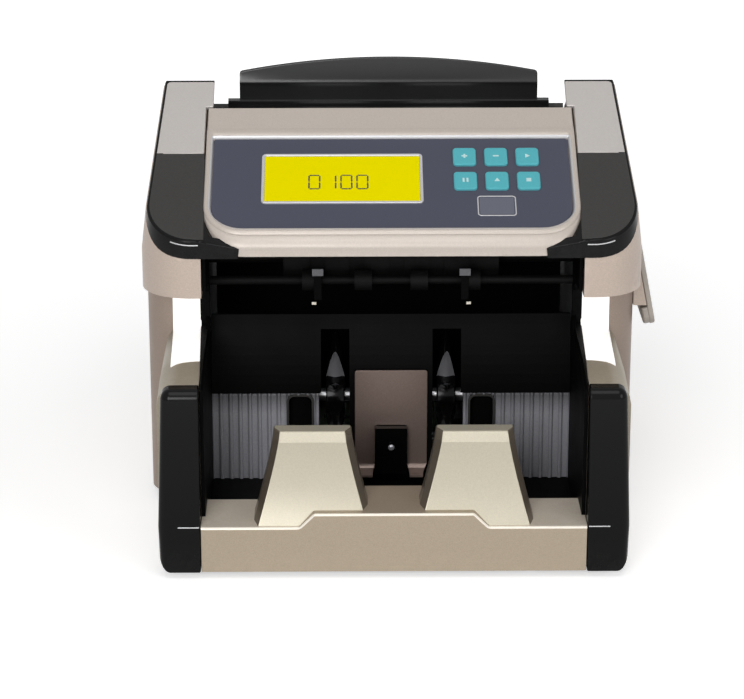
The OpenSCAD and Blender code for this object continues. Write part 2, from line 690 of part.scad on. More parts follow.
guard_low = floor_high[1];
guard_step = ridge_z - 19;
arch_top = body_h;
module hopper_guard() color(gloss_black) on_mid() {
    arch_r = (pow(guard_top_w / 2, 2) + pow(guard_arch, 2)) / (2 * guard_arch);
    along_y(guard_y, guard_y + guard_t) intersection() {
        union() {
            translate([-guard_w / 2, guard_low]) square([guard_w, guard_step - guard_low]);
            translate([-guard_top_w / 2, guard_step - 1]) square([guard_top_w, arch_top - guard_step + 1]);
        }
        translate([0, arch_top - arch_r]) circle(arch_r, $fn = 180);
    }
    along_x(-guard_w / 2, guard_w / 2) polygon([[guard_y + guard_t, guard_low], [guard_y + guard_t + 5, guard_low],
        [guard_y + guard_t + 5, guard_low + 3], [guard_y + guard_t, guard_low + 12]]);
    along_x(-guard_top_w / 2, guard_top_w / 2) polygon([[guard_y, body_h - 17], [guard_y - 3, body_h - 14.5], [guard_y, body_h - 12]]);
    for (k = [-1, 1]) block([k < 0 ? -frame_x : guard_w / 2 - 6, guard_y + guard_t, guard_low], [k < 0 ? -guard_w / 2 + 6 : frame_x, guard_y + guard_t + 8, guard_low + 3]);
}

// ---- Back ----

lug_x = 70;         // middle of each group of door hinge knuckles
lug_half_w = 6;     // half the width of the fixed knuckle
ear_x = [-lug_x - 12, -lug_x + 12, lug_x - 12, lug_x + 12];     // the door's knuckles
hinge_y = back_y - 3.2;
vent_low = 90;
vent_gap = 8;
vent_pitch = 30;
module socket_hole(x, half) block([x - half[0], back_y - 10, socket_z - half[1]], [x + half[0], back_y + 1, socket_z + half[1]]);
module rear_cover() color(champagne) on_mid() difference() {
    union() {
        block([-inner_x + fit, back_y - wall, skirt_z], [inner_x - fit, back_y, door_hinge_h - 4.4]);
        for (x = [-lug_x, lug_x]) {
            rod_x(x - lug_half_w, x + lug_half_w, 3, [hinge_y, door_hinge_h]);
            block([x - lug_half_w, back_y - 6, door_hinge_h - 12], [x + lug_half_w, back_y - 0.4, door_hinge_h]);
        }
    }
    for (x = [-lug_x, lug_x]) rod_x(x - lug_half_w - 1, x + lug_half_w + 1, door_pin_r, [hinge_y, door_hinge_h]);
    socket_hole(inlet_x, inlet_half);
    socket_hole(switch_x, switch_half);
    socket_hole(port_x, port_half);
    for (z = [vent_low:vent_gap:door_hinge_h - 14], x = [-2:2])
        block([x * vent_pitch - 11, back_y - 10, z - 1.5], [x * vent_pitch + 11, back_y + 1, z + 1.5]);
}

// The door: a sloping lid and a short back wall, on two knuckles beside each lug
door_top = (guard_y + guard_t + 9 - ridge_y) / cos(tilt);
door_low = (back_y - ridge_y) / cos(tilt);
module rear_door() color(dark_grey) {
    on_rear() block([-inner_x + play, door_top, -wall], [inner_x - play, door_low - 1.4, 0]);
    on_mid() difference() {
        union() {
            block([-inner_x + play, back_y - wall, door_hinge_h + 3.4], [inner_x - play, back_y, rear_z(back_y, -wall) + 0.9 * wall]);
            for (x = ear_x) {
                rod_x(x - 5, x + 5, 3, [hinge_y, door_hinge_h]);
                block([x - 5, back_y - wall, door_hinge_h], [x + 5, back_y - 0.2, door_hinge_h + 4]);
            }
        }
        for (x = ear_x) rod_x(x - 6, x + 6, door_pin_r + running, [hinge_y, door_hinge_h]);
    }
}

// ---- Handle ----

// Outer face of the handle and its boss: a straight line from the casing down to the grip
flare_top = pivot_h + boss_up;
flare_x = half_w - lean(flare_top);
grip_x = half_w + handle_out;
function flare(z) = flare_x + (grip_x - flare_x) * (flare_top - z) / (flare_top - grip_low);
pivot_x = flare(pivot_h) - 4.2;
recess_r = 6;
boss_low = grip_low + grip_h + 1.5;
lug_half = 8;       // half the height of the boss's lug, which fills a window in the side cover
wedge_z = flare_top - (half_w + handle_t + play + 1 - flare_x) * (flare_top - grip_low) / (grip_x - flare_x);
lug_low = min(pivot_h - lug_half, wedge_z - 1);
module handle_boss() color(champagne) on_mid() difference() {
    union() {
        block([pivot_x - recess_r - 2, -handle_half - 2, lug_low], [half_w + fit, handle_half + 2, pivot_h + lug_half]);
        along_y(-handle_half - 2, handle_half + 2) polygon([
            [half_w + fit / 2, boss_low], [half_w + fit / 2, lean_h], [flare_x + fit / 2, flare_top],
            [flare(pivot_h + recess_r), pivot_h + recess_r], [flare(pivot_h) - handle_t - play, pivot_h],
            [flare(boss_low) - handle_t - play, boss_low]]);
    }
    rod_y(-handle_half, handle_half, recess_r, [pivot_x, pivot_h]);
    rod_y(-big / 2, big / 2, handle_pin_r, [pivot_x, pivot_h]);
}
module carry_handle() color([0.62, 0.60, 0.57]) on_mid() difference() {
    union() {
        along_y(-handle_half + play, handle_half - play) polygon([
            [flare(pivot_h + 2.5), pivot_h + 2.5], [flare(grip_low), grip_low + 2], [flare(grip_low) - 2, grip_low], [flare(grip_low) - 8, grip_low + 1],
            [flare(grip_low + grip_h) - 7, grip_low + grip_h - 1], [flare(grip_low + grip_h) - handle_t, grip_low + grip_h + 1], [flare(pivot_h + 2.5) - handle_t, pivot_h + 2.5]]);
        rod_y(-handle_half + play, handle_half - play, 3, [pivot_x, pivot_h]);
    }
    rod_y(-big / 2, big / 2, handle_pin_r + running, [pivot_x, pivot_h]);
}
module hinge_pins() color(steel) on_mid() {
    rod_y(-handle_half - 1.8, handle_half + 1.8, handle_pin_r, [pivot_x, pivot_h]);
    for (x = [-lug_x, lug_x]) rod_x(x - 17, x + 17, door_pin_r, [hinge_y, door_hinge_h]);
}

// ---- Frames and drive ----

bore_at = [feed_at, pick_at, stack_at];
module frame(k) color(steel) on_side(k) along_x(frame_x, frame_x + frame_t) difference() {
    polygon([[notch_y + 4, tray_top], [frame_back, tray_top], [frame_back, frame_top - 50], [frame_back - 48, frame_top - 8],
        [frame_back - 78, frame_top + 6], [frame_back - 118, frame_top + 6], [notch_y + 4, frame_top]]);
    for (p = bore_at) translate(p) circle(bush_r);
    for (p = rod_at) translate(p) circle(rod_r);
    if (k < 0) translate(motor_at) circle(6);
}
module left_frame() frame(-1);
module right_frame() frame(1);

module tie_rods() color(steel) on_mid() for (p = rod_at) {
    rod_x(-frame_x - frame_t, frame_x + frame_t, rod_r, p);
    for (k = [-1, 1]) rod_x(k < 0 ? -frame_x - frame_t - 2 : frame_x + frame_t, k < 0 ? -frame_x - frame_t : frame_x + frame_t + 2, rod_r + 2, p);
}

module bearings() color([0.70, 0.58, 0.32]) on_mid() for (k = [-1, 1], p = bore_at) difference() {
    union() {
        rod_x(k < 0 ? -frame_x - frame_t - bush_flange : frame_x, k < 0 ? -frame_x : frame_x + frame_t + bush_flange, bush_r, p);
        rod_x(k < 0 ? -frame_x - frame_t - bush_flange : frame_x + frame_t, k < 0 ? -frame_x - frame_t : frame_x + frame_t + bush_flange, bush_r + 2, p);
    }
    rod_x(-big, big, shaft_r + running, p);
}

// Left or right side of the machine, for pieces drawn on the middle plane
module flip(k) mirror([k < 0 ? 1 : 0, 0, 0]) children();

// A belt pulley with two flanges, its inner side at x on side k
groove_w = belt_w + 2 * 0.3;
pulley_w = groove_w + 2 * flange_t;
module pulley(k, x, r, p) flip(k) {
    rod_x(x, x + pulley_w, r, p);
    for (o = [0, flange_t + groove_w]) rod_x(x + o, x + o + flange_t, r + 2.2, p);
}

module belt(k, x, p1, r1, p2, r2) flip(k) along_x(x + flange_t + 0.3, x + flange_t + 0.3 + belt_w) difference() {
    hull() { translate(p1) circle(r1 + 0.3 + belt_t); translate(p2) circle(r2 + 0.3 + belt_t); }
    hull() { translate(p1) circle(r1 + 0.3); translate(p2) circle(r2 + 0.3); }
}

module main_motor() color(steel) on_mid() {
    difference() {
        union() {
            rod_x(-frame_x, -frame_x + motor_len, motor_r, motor_at);
            block([-frame_x, motor_at[0] - motor_r - 5, motor_at[1] - 6], [-frame_x + 3, motor_at[0] + motor_r + 5, motor_at[1] + 6]);
        }
        rod_x(-frame_x - 1, -frame_x + 8, 2.5 + running, motor_at);
    }
}
module motor_pulley() color(steel) on_mid() {
    rod_x(-pulley_x - belt_w - 4, -frame_x + 7.5, 2.5, motor_at);
    pulley(-1, pulley_x, motor_pulley_r, motor_at);
}

module drive_belt() color(rubber) on_mid() belt(-1, pulley_x, feed_at, feed_big_r, motor_at, motor_pulley_r);
module pickup_belt() color(rubber) on_mid() belt(-1, second_x, feed_at, pick_pulley_r, pick_at, pick_pulley_r);
module stacker_belt() color(rubber) on_mid() belt(1, pulley_x, feed_at, feed_small_r, stack_at, stack_pulley_r);

module feed_drum() color([0.30, 0.30, 0.32]) on_mid() {
    rod_x(-second_x - belt_w - 4, pulley_x + belt_w + 4, shaft_r, feed_at);
    rod_x(-drum_half, drum_half, drum_r - 1.5, feed_at);
    for (x = [-drum_half + 8:23:drum_half - 8]) rod_x(x - 7, x + 7, drum_r, feed_at);
    pulley(-1, pulley_x, feed_big_r, feed_at);
    pulley(-1, second_x, pick_pulley_r, feed_at);
    pulley(1, pulley_x, feed_small_r, feed_at);
}

module pickup_roller() color(rubber) on_mid() {
    rod_x(-second_x - belt_w - 4, frame_x + frame_t + bush_flange + 2, shaft_r, pick_at);
    for (k = [-1, 1]) rod_x(k * pick_x - pick_w / 2, k * pick_x + pick_w / 2, pick_r, pick_at);
    pulley(-1, second_x, pick_pulley_r, pick_at);
}

module exit_rollers() color(steel) on_mid() {
    rod_x(-inner_x + 0.5, inner_x - 0.5, 2.5, exit_at);
    for (x = [-46, -16, 16, 46]) rod_x(x - 5, x + 5, exit_r, exit_at);
}

module stacker_shaft() color(steel) on_mid() {
    rod_x(-frame_x - frame_t - bush_flange - 2, pulley_x + belt_w + 4, shaft_r, stack_at);
    pulley(1, pulley_x, stack_pulley_r, stack_at);
}

// Paddle wheels: a hub with swept-back paddles
hub_r = 14;
module paddle() {
    sweep = 34;
    steps = 5;
    for (i = [0:steps - 1]) {
        r0 = hub_r - 1 + (paddle_r - hub_r + 1) * i / steps;
        r1 = hub_r - 1 + (paddle_r - hub_r + 1) * (i + 1) / steps;
        a0 = sweep * pow(i / steps, 1.3);
        a1 = sweep * pow((i + 1) / steps, 1.3);
        t0 = 2.4 - 1.2 * i / steps;
        t1 = 2.4 - 1.2 * (i + 1) / steps;
        polygon([r0 * [cos(a0), sin(a0)], r1 * [cos(a1), sin(a1)], r1 * [cos(a1), sin(a1)] + t1 * [-sin(a1), cos(a1)], r0 * [cos(a0), sin(a0)] + t0 * [-sin(a0), cos(a0)]]);
    }
}
module paddle_wheels() color(matt_black) on_mid() difference() {
    for (k = [-1, 1]) along_x(k * wheel_x - paddle_w / 2, k * wheel_x + paddle_w / 2) translate(stack_at) {
        circle(hub_r);
        for (i = [0:paddle_n - 1]) rotate(i * 360 / paddle_n) paddle();
    }
    rod_x(-big, big, shaft_r, stack_at);
}

// The retard block presses notes against the feed drum; the knob sets its gap.
// It hangs from a beam between the side frames.
pad_r = 8;          // rounding of the retard pad
pad_half = 14;      // half its width
knob_r = 7;
knob_y = slope_y(deck_len) - 2 * knob_r;
knob_z = frame_top - 4;
retard_at = feed_at + (drum_r + pad_r + play) * [-cos(60), sin(60)];
module retard_block() color(steel) on_mid() difference() {
    union() {
        rod_x(-pad_half, pad_half, pad_r, retard_at);
        block([-pad_half, retard_at[0] - 2, retard_at[1] + 4], [pad_half, retard_at[0] + 2, knob_z + 2]);
        block([-pad_half, retard_at[0] - 2, knob_z - 2], [pad_half, knob_y + knob_r + 1, knob_z + 2]);
        block([-frame_x, retard_at[0] - 2, knob_z - 2], [frame_x, retard_at[0] + pad_r, knob_z + 2]);
    }
    translate([0, knob_y, knob_z - 3]) cylinder(h = 8, r = 2 + running);
}
module adjusting_knob() color(gloss_black) on_mid() translate([0, knob_y, 0]) {
    translate([0, 0, knob_z - 9]) cylinder(h = 12, r = 2);
    difference() {
        translate([0, 0, knob_z + 2 + play]) cylinder(h = 9, r = knob_r);
        for (a = [0:30:330]) rotate(a) translate([knob_r + 0.4, 0, knob_z]) cylinder(h = 20, r = 0.9, $fn = 16);
    }
}

// Screws up through the tray, their heads between the feet
module screws() color(steel) on_mid() for (p = screw_at) translate([p[0], p[1], foot_h]) {
    translate([0, 0, -1.4]) cylinder(h = 1.4, r = screw_r * 2);
    cylinder(h = tray_t, r = screw_r);
}

// ---- Electronics ----

module main_board() color([0.10, 0.35, 0.18]) on_mid() {
    z = tray_top + post_h;
    board_t = 1.6;
    front = board_front;
    block([-board_left, front, z], [board_len - board_left, board_back, z + board_t]);
    for (p = post_at) translate([p[0], p[1], tray_top]) cylinder(h = post_h, r = 3);
    // processor, socket strip and capacitors
    block([-board_left + 52, front + 48, z + board_t], [-board_left + 80, front + 76, z + board_t + 2.4]);
    block([-board_left + 96, front + 18, z + board_t], [-board_left + 116, front + 30, z + board_t + 10.4]);
    for (i = [0:3]) translate([-board_left + 22 + 14 * i, board_back - 16, z + board_t]) cylinder(h = 13, r = 5);
}

// Laminated core on a flanged plate, with a winding round its middle
module transformer() color(steel) on_mid() translate([core_x, core_y, tray_top]) {
    plate = 1.5;
    coil = [core_w / 2 - 10, core_d / 2 + 6];
    block([-core_w / 2, -core_d / 2, plate], [core_w / 2, core_d / 2, core_h]);
    block([-core_w / 2 - core_flange, -core_d / 2 - core_flange, 0], [core_w / 2 + core_flange, core_d / 2 + core_flange, plate]);
    block([-coil[0], -coil[1], core_h - 36], [coil[0], coil[1], core_h - 8]);
}

// A socket body behind its hole in the rear cover, open to the back
module socket_body(x, half, deep, rim, open) difference() {
    block([x - half[0] + fit, back_y - deep, socket_z - half[1] + fit], [x + half[0] - fit, back_y, socket_z + half[1] - fit]);
    block([x - half[0] + rim, back_y - open, socket_z - half[1] + rim], [x + half[0] - rim, back_y + 1, socket_z + half[1] - rim]);
}
module rear_sockets() color(matt_black) on_mid() {
    socket_body(inlet_x, inlet_half, 24, 2.5, 16);
    for (x = [-6, 0, 6]) block([inlet_x + x - 1, back_y - 16.5, socket_z - 2], [inlet_x + x + 1, back_y - 4, socket_z + 2]);
    socket_body(switch_x, switch_half, 18, 2, 14);
    socket_body(port_x, port_half, 18, 2, 13);
}

// The rocker leans out of its frame at the top
rocker_half = switch_half - [2 + play, 3.4];
module power_rocker() color([0.6, 0.1, 0.08]) on_mid() translate([switch_x, back_y - 6, socket_z]) {
    h = rocker_half[1];
    along_x(-rocker_half[0], rocker_half[0]) polygon([[-3, -h + 0.2], [4, -h], [4.8, 0], [6, h], [-1, h - 0.2]]);
    rod_x(-rocker_half[0] - play / 2, rocker_half[0] + play / 2, 2.5, [-1, 0]);
}

module left_side_cover() side_cover(-1);
module right_side_cover() side_cover(1);
module left_cheek() cheek(-1);
module right_cheek() cheek(1);
module left_finger() finger(-1);
module right_finger() finger(1);
module left_top_plate() top_plate(-1);
module right_top_plate() top_plate(1);
module left_dark_trim() dark_trim(-1);
module right_dark_trim() dark_trim(1);
module left_rib_guide() rib_guide(-1);
module right_rib_guide() rib_guide(1);
module left_pocket_wall() pocket_wall(-1);
module right_pocket_wall() pocket_wall(1);

base_tray();
rubber_feet();
left_side_cover();
right_side_cover();
left_cheek();
right_cheek();
front_bar();
left_finger();
right_finger();
head_cover();
control_panel();
display_frame();
display_window();
transformer();
key_top_1();
key_top_2();
key_top_3();
key_low_1();
key_low_2();
key_low_3();
left_top_plate();
right_top_plate();
left_dark_trim();
right_dark_trim();
pocket_back();
left_rib_guide();
right_rib_guide();
centre_plate();
stack_sensor();
left_pocket_wall();
right_pocket_wall();
pocket_floor();
hopper_floor();
hopper_guard();
rear_cover();
rear_door();
hinge_pins();
handle_boss();
carry_handle();
screws();
left_frame();
right_frame();
tie_rods();
bearings();
main_motor();
motor_pulley();
drive_belt();
pickup_belt();
stacker_belt();
feed_drum();
pickup_roller();
exit_rollers();
stacker_shaft();
paddle_wheels();
retard_block();
adjusting_knob();
display_board();
main_board();
rear_sockets();
power_rocker();
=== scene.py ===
import json
import math
import bpy
import bmesh
import numpy as np
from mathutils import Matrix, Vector


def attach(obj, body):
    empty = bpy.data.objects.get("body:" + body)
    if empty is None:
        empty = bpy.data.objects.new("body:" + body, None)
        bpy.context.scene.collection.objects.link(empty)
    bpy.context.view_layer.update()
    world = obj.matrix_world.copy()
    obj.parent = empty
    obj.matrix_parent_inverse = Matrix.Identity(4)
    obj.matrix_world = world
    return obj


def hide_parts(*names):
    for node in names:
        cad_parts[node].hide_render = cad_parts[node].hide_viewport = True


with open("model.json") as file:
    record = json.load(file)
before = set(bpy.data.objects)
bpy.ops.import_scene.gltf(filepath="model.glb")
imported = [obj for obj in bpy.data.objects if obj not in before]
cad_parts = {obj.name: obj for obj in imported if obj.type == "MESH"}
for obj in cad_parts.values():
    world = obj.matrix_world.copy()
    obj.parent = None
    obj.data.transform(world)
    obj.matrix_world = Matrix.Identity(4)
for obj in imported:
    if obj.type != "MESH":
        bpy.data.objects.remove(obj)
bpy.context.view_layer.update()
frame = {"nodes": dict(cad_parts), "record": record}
print("stage: frame loaded")


# A dictionary whose values are also read as attributes
class Sizes(dict):
    __getattr__ = dict.__getitem__


# The casing in millimetres, measured from its middle plane
casing = Sizes(
    middle=-7.0, half=140.5, back=157.0, inner=106.2, notch=-50.0,
    headFront=-97.0, slopeEdge=176.7, tilt=28.0, plateLength=132.0,
    leanFrom=165.0, leanIn=9.0, headLow=143.0, skirt=8.0, wall=2.5,
)
sine, cosine = math.sin(math.radians(casing.tilt)), math.cos(math.radians(casing.tilt))
tangent = sine / cosine
ridgeY = casing.headFront + casing.plateLength * cosine
ridgeZ = casing.slopeEdge + casing.plateLength * sine
mirrored = {"left": -1, "right": 1}


# Points from one array for each coordinate, each stretched to the shape of the others
def stack(*parts):
    return np.stack(np.broadcast_arrays(*[np.asarray(p, float) for p in parts]), -1)


# Height of the head's slope at depth y, lifted square to the slope by h
def slopeHeight(y, h=0.0):
    return casing.slopeEdge + (y - casing.headFront) * tangent + h / cosine


# Height of the rear slope at depth y, lifted square to it by h
def rearHeight(y, h=0.0):
    return ridgeZ - (y - ridgeY) * tangent + h / cosine


# How far the casing's side has leaned in at height z: nothing below leanFrom, then in proportion
def lean(z):
    return np.maximum(0, z - casing.leanFrom) * casing.leanIn / (ridgeZ - casing.leanFrom)


# Points given across, up the slope and square to it: s along the slope and h along its normal, both turned
# by the tilt's sine and cosine, from the slope's front edge
def onSlope(x, s, h):
    return stack(x, casing.headFront + s * cosine - h * sine, casing.slopeEdge + s * sine + h * cosine)


# Points of an outline that stands square to X, Y or Z, with its third coordinate given last
def alongX(y, z, x):
    return stack(x, y, z)


def alongY(x, z, y):
    return stack(x, y, z)


def alongZ(x, y, z):
    return stack(x, y, z)


# A closed outline whose corners are arcs: each arc starts and ends radius/tan(half angle) from its corner,
# and its points turn evenly from one tangent point to the other. A corner with no radius stays one point.
def rounded(corners, radii, steps=5):
    p = np.asarray(corners, float)
    r = np.broadcast_to(np.asarray(radii, float), len(p))[:, None]
    back, ahead = np.roll(p, 1, 0) - p, np.roll(p, -1, 0) - p
    back /= np.linalg.norm(back, axis=1, keepdims=True)
    ahead /= np.linalg.norm(ahead, axis=1, keepdims=True)
    half = np.arccos(np.clip((back * ahead).sum(1, keepdims=True), -0.9999, 0.9999)) / 2
    middle = back + ahead
    middle /= np.maximum(np.linalg.norm(middle, axis=1, keepdims=True), 1e-9)
    centre = p + middle * r / np.sin(half)
    v0 = p + back * r / np.tan(half) - centre
    v1 = p + ahead * r / np.tan(half) - centre
    turn = (math.pi - 2 * half)[:, :, None]
    u = np.linspace(0, 1, steps + 1)[None, :, None]
    arc = (np.sin((1 - u) * turn) * v0[:, None] + np.sin(u * turn) * v1[:, None]) / np.sin(turn)
    kept = (r > 0) | (np.arange(steps + 1)[None] == 0)
    return (centre[:, None] + arc)[kept]


# The corners of a rectangle between two opposite ones, anticlockwise from the first
def box2(x0, y0, x1, y1):
    return [(x0, y0), (x1, y0), (x1, y1), (x0, y1)]


# The outline moved inwards: each edge shifts along its own normal, and neighbouring edges meet again.
# weight scales the shift of single edges.
def inset(outline, distance, weight=1.0):
    p = np.asarray(outline, float)
    edge = np.roll(p, -1, 0) - p
    length = np.linalg.norm(edge, axis=1, keepdims=True)
    area = (p[:, 0] * np.roll(p[:, 1], -1) - np.roll(p[:, 0], -1) * p[:, 1]).sum()
    normal = np.stack([-edge[:, 1], edge[:, 0]], 1) / np.maximum(length, 1e-9) * np.sign(area)
    shift = distance * np.broadcast_to(np.asarray(weight, float), len(p))
    n0, n1, d0, d1 = np.roll(normal, 1, 0), normal, np.roll(shift, 1), shift
    cross = n0[:, 0] * n1[:, 1] - n0[:, 1] * n1[:, 0]
    flat = np.abs(cross) < 1e-4
    safe = np.where(flat, 1.0, cross)
    move = np.stack([(d0 * n1[:, 1] - d1 * n0[:, 1]) / safe, (n0[:, 0] * d1 - n1[:, 0] * d0) / safe], 1)
    level = (n0 + n1) / 2 * ((d0 + d1) / 2)[:, None]
    return p + np.where(flat[:, None], level, move)


# Quarter-circle steps of a fillet: how far in, and how far below the face, at each step, as its radius
# times one less the cosine or the sine
def fillet(radius, steps=4):
    a = np.linspace(0, math.pi / 2, steps + 1)
    return radius * (1 - np.cos(a)), radius * (1 - np.sin(a))


# Rings of a slab between two faces: the outline, drawn in by a fillet at each face
def slabRings(outline, low, high, lowRadius, highRadius, weight=1.0, steps=4):
    d0, t0 = fillet(lowRadius, steps)
    d1, t1 = fillet(highRadius, steps)
    d = np.concatenate([d0[::-1], d1])
    t = np.concatenate([low + t0[::-1], high - t1])
    flat = np.stack([inset(outline, x, weight) for x in d])
    return flat[..., 0], flat[..., 1], t[:, None]


# A mesh of points in millimetres from the middle plane; doubled points are joined, faces are turned outwards
def putMesh(name, vertices, faces):
    mesh = bpy.data.meshes.new(name)
    mesh.from_pydata(((vertices + [casing.middle, 0, 0]) / 1000).tolist(), [], faces)
    work = bmesh.new()
    work.from_mesh(mesh)
    bmesh.ops.remove_doubles(work, verts=work.verts, dist=2e-6)
    bmesh.ops.dissolve_degenerate(work, edges=work.edges, dist=1e-6)
    bmesh.ops.recalc_face_normals(work, faces=work.faces)
    work.to_mesh(mesh)
    work.free()
    return mesh


# Faces of a grid of rings: each joins a point to the next in its ring and to both in the next ring. The
# seam closes where around is true, the last ring joins the first where along is true, and capped ends get
# one n-sided face. A window leaves out the faces from one row and column up to another.
def gridFaces(rows, columns, around=True, along=False, caps=(True, True), window=None, first=0):
    upTo, acrossTo = rows if along else rows - 1, columns if around else columns - 1
    i, j = np.meshgrid(np.arange(upTo), np.arange(acrossTo), indexing="ij")
    up, over = (i + 1) % rows, (j + 1) % columns
    quads = first + np.stack([i * columns + j, i * columns + over, up * columns + over, up * columns + j], -1)
    if window:
        row, pastRow, column, pastColumn = window
        quads = quads[(i < row) | (i >= pastRow) | (j < column) | (j >= pastColumn)]
    faces = quads.reshape(-1, 4).tolist()
    if caps[0] and not along:
        faces.append((first + np.arange(columns))[::-1].tolist())
    if caps[1] and not along:
        faces.append((first + (rows - 1) * columns + np.arange(columns)).tolist())
    return faces


openSheet = {"around": False, "caps": (False, False)}


# Several grids of points joined in one mesh; each is its points, or its points and options of gridFaces
def gridMesh(name, grids, mirror=1):
    vertices, faces, first = [], [], 0
    for grid in grids:
        points, options = grid if isinstance(grid, tuple) else (grid, {})
        rows, columns = points.shape[:2]
        faces += gridFaces(rows, columns, first=first, **options)
        vertices.append(points.reshape(-1, 3) * [mirror, 1, 1])
        first += rows * columns
    return putMesh(name, np.concatenate(vertices), faces)


# Rounds the edges sharper than an angle in degrees, by a width in millimetres
def roundEdges(obj, width, angle):
    m = obj.modifiers.new("edges", "BEVEL")
    m.width, m.segments, m.limit_method, m.angle_limit = width / 1000, 3, "ANGLE", math.radians(angle)


# Puts a piece made of grids in the scene, with its finish, its smoothing and the body that it rides on; a
# mirror of -1 swaps its sides, and edges sharper than an angle in degrees stay sharp
def piece(name, grids, finish, slot, body="casing", replaced=(), mirror=1, wall=0.0, bevel=0.0, sharp=50):
    mesh = gridMesh(name, grids, mirror)
    obj = bpy.data.objects.new(name, mesh)
    bpy.context.scene.collection.objects.link(obj)
    mesh.shade_smooth()
    mesh.set_sharp_from_angle(angle=math.radians(sharp))
    mesh.materials.append(materials[finish])
    if wall:
        m = obj.modifiers.new("wall", "SOLIDIFY")
        m.thickness, m.offset = wall / 1000, -1
    if bevel:
        roundEdges(obj, bevel, sharp)
    m = obj.modifiers.new("normals", "WEIGHTED_NORMAL")
    m.keep_sharp, m.weight = True, 60
    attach(obj, body)
    if replaced:
        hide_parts(*replaced)
    return obj


# Gives a second finish to the faces that a test picks by their centres in millimetres and their normals
def secondFinish(obj, finish, test):
    mesh = obj.data
    mesh.materials.append(materials[finish])
    centre, normal = np.zeros((2, len(mesh.polygons) * 3))
    mesh.polygons.foreach_get("center", centre)
    mesh.polygons.foreach_get("normal", normal)
    chosen = test(centre.reshape(-1, 3) * 1000, normal.reshape(-1, 3))
    mesh.polygons.foreach_set("material_index", chosen.astype(np.int32))


# A slab piece: an outline between two faces, each edge filleted
def slab(name, outline, low, high, radii, place, finish, slot, weight=1.0, **options):
    u, v, t = slabRings(outline, low, high, *radii, weight=weight)
    return piece(name, [place(u, v, t)], finish, slot, **options)


# A colour of 0 to 255 made linear by the screen's own curve: a line near black, else a power of 2.4
def colour(r, g, b):
    c = np.array([r, g, b]) / 255
    return (*np.where(c <= 0.04045, c / 12.92, ((c + 0.055) / 1.055) ** 2.4), 1.0)


# A shader node group with number inputs and their usual values, and outputs of the kinds given
def newGroup(name, inputs, outputs):
    tree = bpy.data.node_groups.new(name, "ShaderNodeTree")
    for label, value in inputs:
        socket = tree.interface.new_socket(name=label, in_out="INPUT", socket_type="NodeSocketFloat")
        socket.default_value = value
    for label, kind in outputs:
        tree.interface.new_socket(name=label, in_out="OUTPUT", socket_type=kind)
    return tree, tree.nodes.new("NodeGroupInput"), tree.nodes.new("NodeGroupOutput")


# A shader node; each setting is the value of the input with its name, or else a property of the node
def node(tree, kind, **settings):
    made = tree.nodes.new("ShaderNode" + kind)
    for key, value in settings.items():
        if key in made.inputs:
            made.inputs[key].default_value = value
        else:
            setattr(made, key, value)
    return made


# Joins an output of one node to an input of another
def join(source, output, target, into):
    target.id_data.links.new(source.outputs[output], target.inputs[into])


grainLook = Sizes(scale=900.0, cloud=14.0, fleckScale=1.7)


# Fine grain of moulded plastic, flecks of a finer scale, and slow clouds that vary the gloss
def buildGrain():
    number = "NodeSocketFloat"
    tree, given, out = newGroup("mouldedGrain", [("Scale", grainLook.scale), ("Cloud", grainLook.cloud)],
                                [("Height", number), ("Fleck", number), ("Clouds", number)])
    place = node(tree, "TexCoord")
    fine = node(tree, "TexNoise", Detail=2.0, Roughness=0.55)
    fleck = node(tree, "TexVoronoi")
    slow = node(tree, "TexNoise", Detail=3.0, Roughness=0.6)
    finer = node(tree, "Math", operation="MULTIPLY")
    finer.inputs[1].default_value = grainLook.fleckScale
    for n in (fine, fleck, slow):
        join(place, "Object", n, "Vector")
    join(given, "Scale", fine, "Scale")
    join(given, "Scale", finer, 0)
    join(finer, 0, fleck, "Scale")
    join(given, "Cloud", slow, "Scale")
    join(fine, "Fac", out, "Height")
    join(fleck, "Color", out, "Fleck")
    join(slow, "Fac", out, "Clouds")
    return tree


wearLook = Sizes(edge=0.56, spread=0.05, patches=180.0, patchFrom=0.35, patchTo=0.62, lighter=1.35, lift=0.05)


# Wear where the surface is sharply convex, times noise that breaks it up
def buildWear():
    tree, given, out = newGroup("edgeWear", [("Edge", wearLook.edge), ("Spread", wearLook.spread)],
                                [("Mask", "NodeSocketFloat")])
    shape = node(tree, "NewGeometry")
    place = node(tree, "TexCoord")
    patchy = node(tree, "TexNoise", Scale=wearLook.patches, Detail=4.0, Roughness=0.7)
    high = node(tree, "Math", operation="ADD")
    span = node(tree, "MapRange")
    broken = node(tree, "MapRange", **{"From Min": wearLook.patchFrom, "From Max": wearLook.patchTo})
    both = node(tree, "Math", operation="MULTIPLY")
    join(place, "Object", patchy, "Vector")
    join(given, "Edge", high, 0)
    join(given, "Spread", high, 1)
    join(shape, "Pointiness", span, "Value")
    join(given, "Edge", span, "From Min")
    join(high, 0, span, "From Max")
    join(patchy, "Fac", broken, "Value")
    join(span, 0, both, 0)
    join(broken, 0, both, 1)
    join(both, 0, out, "Mask")
    return tree


groups = {"grain": buildGrain(), "wear": buildWear()}
materials = {}

